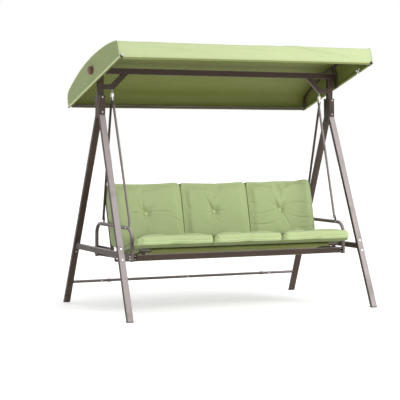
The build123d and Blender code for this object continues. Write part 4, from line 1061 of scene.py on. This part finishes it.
def surface_line(cushion, tree, places, lift):
    """A seam's line laid on the surface: nearest points, smoothed, with the surface's normals."""
    found = [tree.find_nearest(p) for p in spaced([cushion.at(*p) for p in places], 10 * MM)]
    line = [hit[0] + hit[1] * lift for hit in found]
    normals = [hit[1] for hit in found]
    for _ in range(3):
        line[1:-1] = [(a + b * 2 + c) / 4 for a, b, c in zip(line, line[1:], line[2:])]
        normals[1:-1] = [(a + b * 2 + c).normalized() for a, b, c in zip(normals, normals[1:], normals[2:])]
    return line, normals


def seam_groove(points, line):
    """Draws the cloth in along a seam."""
    line = np.array([tuple(p) for p in line])
    gap = np.linalg.norm(points[:, None] - line[None], axis=2).min(axis=1)
    inward = points.mean(axis=0) - points
    inward /= np.linalg.norm(inward, axis=1)[:, None]
    return points + inward * (3.5 * MM * np.exp(-((gap / (7 * MM)) ** 2)))[:, None]


def button(name, centre, normal):
    """Cloth-covered button tied down in its pit, with the gathered edge of its cover."""
    profile = [(7.0, -5.5), (15.0, -4.0), (17.8, -1.4), (17.5, 0.5), (15.0, 3.3), (10.8, 5.7), (5.4, 7.1), (0.2, 7.6)]

    def gathers(angle, radius):
        return 1.0 + (0.03 * math.sin(angle * 18) if radius > 10 * MM else 0.0)

    shape = lathe([(r * MM, h * MM) for r, h in profile], centre, normal, 54, gathers)
    piece(name, shape, ON_CUSHION, LIT_BUTTON_CLOTH)


def seam_lines(kind):
    """Seam lines on a cushion's panels: the seat's ends, rear and scalloped front, or round the back's two faces."""
    run = np.linspace(0.03, 0.97, 24)
    if kind == "back":
        return {name: [(0.0, b, c) for b in run] + [(a, 1.0, c) for a in run] + [(1.0, b, c) for b in run[::-1]]
                for name, c in (("face", 1.0), ("rear", 0.0))}
    front = [(0.0, 0.03, 0.93), (0.004, 0.004, 0.66), (0.012, 0.0, LIP + 0.06)]
    front += [(a, 0.0, scallop(a) + 0.03) for a in np.linspace(0.03, 0.97, 40)]
    front += [(0.988, 0.0, LIP + 0.06), (0.996, 0.004, 0.66), (1.0, 0.03, 0.93)]
    return {"front": front,
            "rear": [(0.0, 0.97, 1.0), (0.02, 1.0, 0.97), (0.98, 1.0, 0.97), (1.0, 0.97, 1.0)],
            "left": [(0.0, b, 1.0) for b in run], "right": [(1.0, b, 1.0) for b in run]}


def build_cushions():
    jobs = []
    for cushion in (Cushion(kind, side) for kind in ("seat", "back") for side in ("left", "middle", "right")):
        start, tied = tufted(cushion)
        jobs.append((cushion, relaxed(cushion, start - cushion.outward() * 3 * MM, tied), tied))
    moves = cloth_filled(jobs)
    for (cushion, start, tied), moved in zip(jobs, moves):
        size = np.linalg.norm(moved, axis=1)[:, None]
        moved = moved * np.minimum(1.0, BULGE[cushion.kind] / np.maximum(size, 1e-9))
        shape_cushion(cushion, start + moved, tied)


def shape_cushion(cushion, points, tied):
    node, is_seat = cushion.node, cushion.kind == "seat"
    points = spread_sides(cushion, relaxed(cushion, points, tied))
    points = pressed(cushion, (rolled if is_seat else squared)(cushion, points))
    fine, points, params = refined(cushion, points)
    if is_seat:
        points = undercut(cushion, points, params)
    points = creased(cushion, points, params)
    seams = seam_lines(cushion.kind)
    for places in seams.values():
        points = seam_groove(points, surface_line(cushion, tree_of(fine, points), places, 0.0)[0])
    tree = tree_of(fine, points)
    fine.materials.append(CUSHION_CLOTH)
    fine.materials.append(SHADED_UNDER_CLOTH)
    # Below the seam height all round, the seat cushion gets the dark cloth: painted shade under the roll.
    if is_seat:
        for face in fine.polygons:
            a, _, c = params[list(face.vertices)].mean(axis=0)
            face.material_index = int(c < scallop(a))
    fine.polygons.foreach_set("use_smooth", [True] * len(fine.polygons))
    fine.update()
    obj = on_body(linked(node + "_pad", fine), *ON_CUSHION)
    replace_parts(obj, node)
    for label, places in seams.items():
        # Side seams get the dark piping copy, painted shade, and the others the lighter one, painted highlight.
        cloth_used, radius = (SHADED_SIDE_PIPING, 3.3 * MM) if label in ("left", "right") else (LIT_PIPING_CLOTH, 2.8 * MM)
        line, normals = surface_line(cushion, tree, places, radius * 0.25)
        piece(f"{node}_piping_{label}", sweep(line, circle(radius, 8), normals), ON_CUSHION, cloth_used)
    at = cushion.at(*BUTTONS[cushion.kind, cushion.side], 1.0) - cushion.free * TUFT[cushion.kind]
    button(f"{node}_button", tree.find_nearest(at)[0] + cushion.free * 4.0 * MM, cushion.free)


# ===== knobs and welds =====

def build_knobs():
    """Clamping knobs with a fluted rim, a raised ring and a capped middle."""
    for side, sign in SIDES.items():
        node = "knob_" + side
        low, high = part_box(node)
        back = (high.x if sign > 0 else -low.x) / MM - 27
        r = min((high.z - low.z) / 2 / MM, 33)
        profile = [(5.2, -3), (13, -3), (13, 0), (r - 4, 0), (r - 1, 1.5), (r, 5), (r, 16), (r - 1.2, 20), (r - 5, 24),
                   (r - 10, 26), (12.5, 26.6), (12, 25.2), (10.5, 25.0), (9.5, 26.8), (4, 27), (0.2, 27)]

        def flutes(angle, radius, rim=(r - 2) * MM):
            return 1.0 - 0.045 * (0.5 - 0.5 * math.cos(angle * 14)) ** 2 if radius > rim else 1.0

        shape = lathe([(a * MM, (back + h) * MM) for a, h in profile], PIVOT, (sign, 0, 0), 112, flutes)
        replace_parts(piece(node + "_grip", shape, (node, "knob_plastic"), BROWN_KNOB), node)


def build_welds():
    """Fillet welds where the braces and posts meet the beam."""
    x1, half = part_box("posts")[1].x, 15 * MM
    x0 = x1 - 50 * MM
    beam_z, arm_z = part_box("beam_right")[0].z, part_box("gussets")[0].z
    section = circle(1.9 * MM, 7)
    rings = {"post": [(x, y, beam_z) for x, y in ((x0, -half), (x1, -half), (x1, half), (x0, half))],
             "brace": [(x0, y, arm_z + z) for y, z in ((-half, 0), (half, 0), (half, 40 * MM), (-half, 40 * MM))]}
    for side, sign in SIDES.items():
        for label, ring in rings.items():
            line = spaced([Vector((sign * x, y, z)) for x, y, z in ring + ring[:1]], 2.6 * MM)[:-1]
            points, faces, uvs = sweep(line, section, Vector((0.3, 0.5, 0.8)), closed=True)
            for k, point in enumerate(points):
                at = k // len(section)
                points[k] = line[at].lerp(point, 1.0 + 0.22 * math.cos(1.9 * at))
            piece(f"weld_{label}_{side}", (points, faces, uvs), ("frame", "powder_coat_brown"), COAT)


# ===== stage =====

CAMERA_AT = (-4.979, -9.861, 1.411)
CAMERA_YAW, CAMERA_DOWN, CAMERA_ROLL = 0.45376, 0.050897, 0.0041145
CAMERA_LENS = 123.27
BACKDROP = (0.438, 0.899, 0.0)          # the way from the camera to the lit side


def build_camera():
    data = bpy.data.cameras.new("camera")
    data.lens, data.sensor_width, data.clip_end = CAMERA_LENS, 36, 200
    camera = bpy.context.scene.camera = linked("camera", data)
    turns = ((-CAMERA_YAW, "Z"), (math.pi / 2 - CAMERA_DOWN, "X"), (CAMERA_ROLL, "Z"))
    pose = Matrix.Translation(CAMERA_AT)
    for angle, axis in turns:
        pose = pose @ Matrix.Rotation(angle, 4, axis)
    camera.matrix_world = pose


def light(name, kind, at, direction, **settings):
    data = bpy.data.lights.new(name, kind)
    for key, value in settings.items():
        setattr(data, key, value)
    obj = linked(name, data)
    obj.location = at
    obj.rotation_mode = "QUATERNION"
    obj.rotation_quaternion = Vector(direction).to_track_quat("-Z", "Y")


def build_world():
    """Studio surroundings: a white wall all round, and above it dim on one side and lit on the other."""
    world = bpy.context.scene.world = bpy.data.worlds.new("studio")
    p = Nodes(world)
    where = p.add("TexCoord").outputs["Generated"]
    towards = p.add("VectorMath", where, BACKDROP, operation="DOT_PRODUCT").outputs["Value"]
    wall = p.ramp(p.math("ABSOLUTE", p.height(where)), 0.11, 0.20, 1.0, 0.0)
    background = p.tree.nodes["Background"].inputs
    p.feed(background["Color"], (1, 1, 1))
    p.feed(background["Strength"], p.math("MAXIMUM", p.ramp(towards, 0.45, 0.93, 0.40, 1.0), wall))


def build_stage():
    build_world()
    bpy.context.scene.view_settings.view_transform = "Standard"
    light("key", "AREA", (4.5, -6.5, 5.6), (-4.5, 6.5, -4.6), shape="RECTANGLE", size=4.0, size_y=4.0, energy=600)
    light("sky panel", "SUN", (0, 0, 0), (-0.10, 0.22, -0.97), energy=1.75, angle=math.radians(50))
    size = 40.0                         # half the floor's side
    mesh = new_mesh("floor", [(-size, -size, 0), (size, -size, 0), (size, size, 0), (-size, size, 0)], [(0, 1, 2, 3)])
    mesh.materials.append(floor_paint())
    floor = linked("floor", mesh)
    floor.location.z = -0.5 * MM


build_camera()
build_stage()
finish_cad_nodes()
roof_edges = canopy_roof()
for side_name, sign in SIDES.items():
    canopy_end_panel(side_name, sign, roof_edges[sign])
build_slings()
build_cushions()
build_knobs()
build_welds()
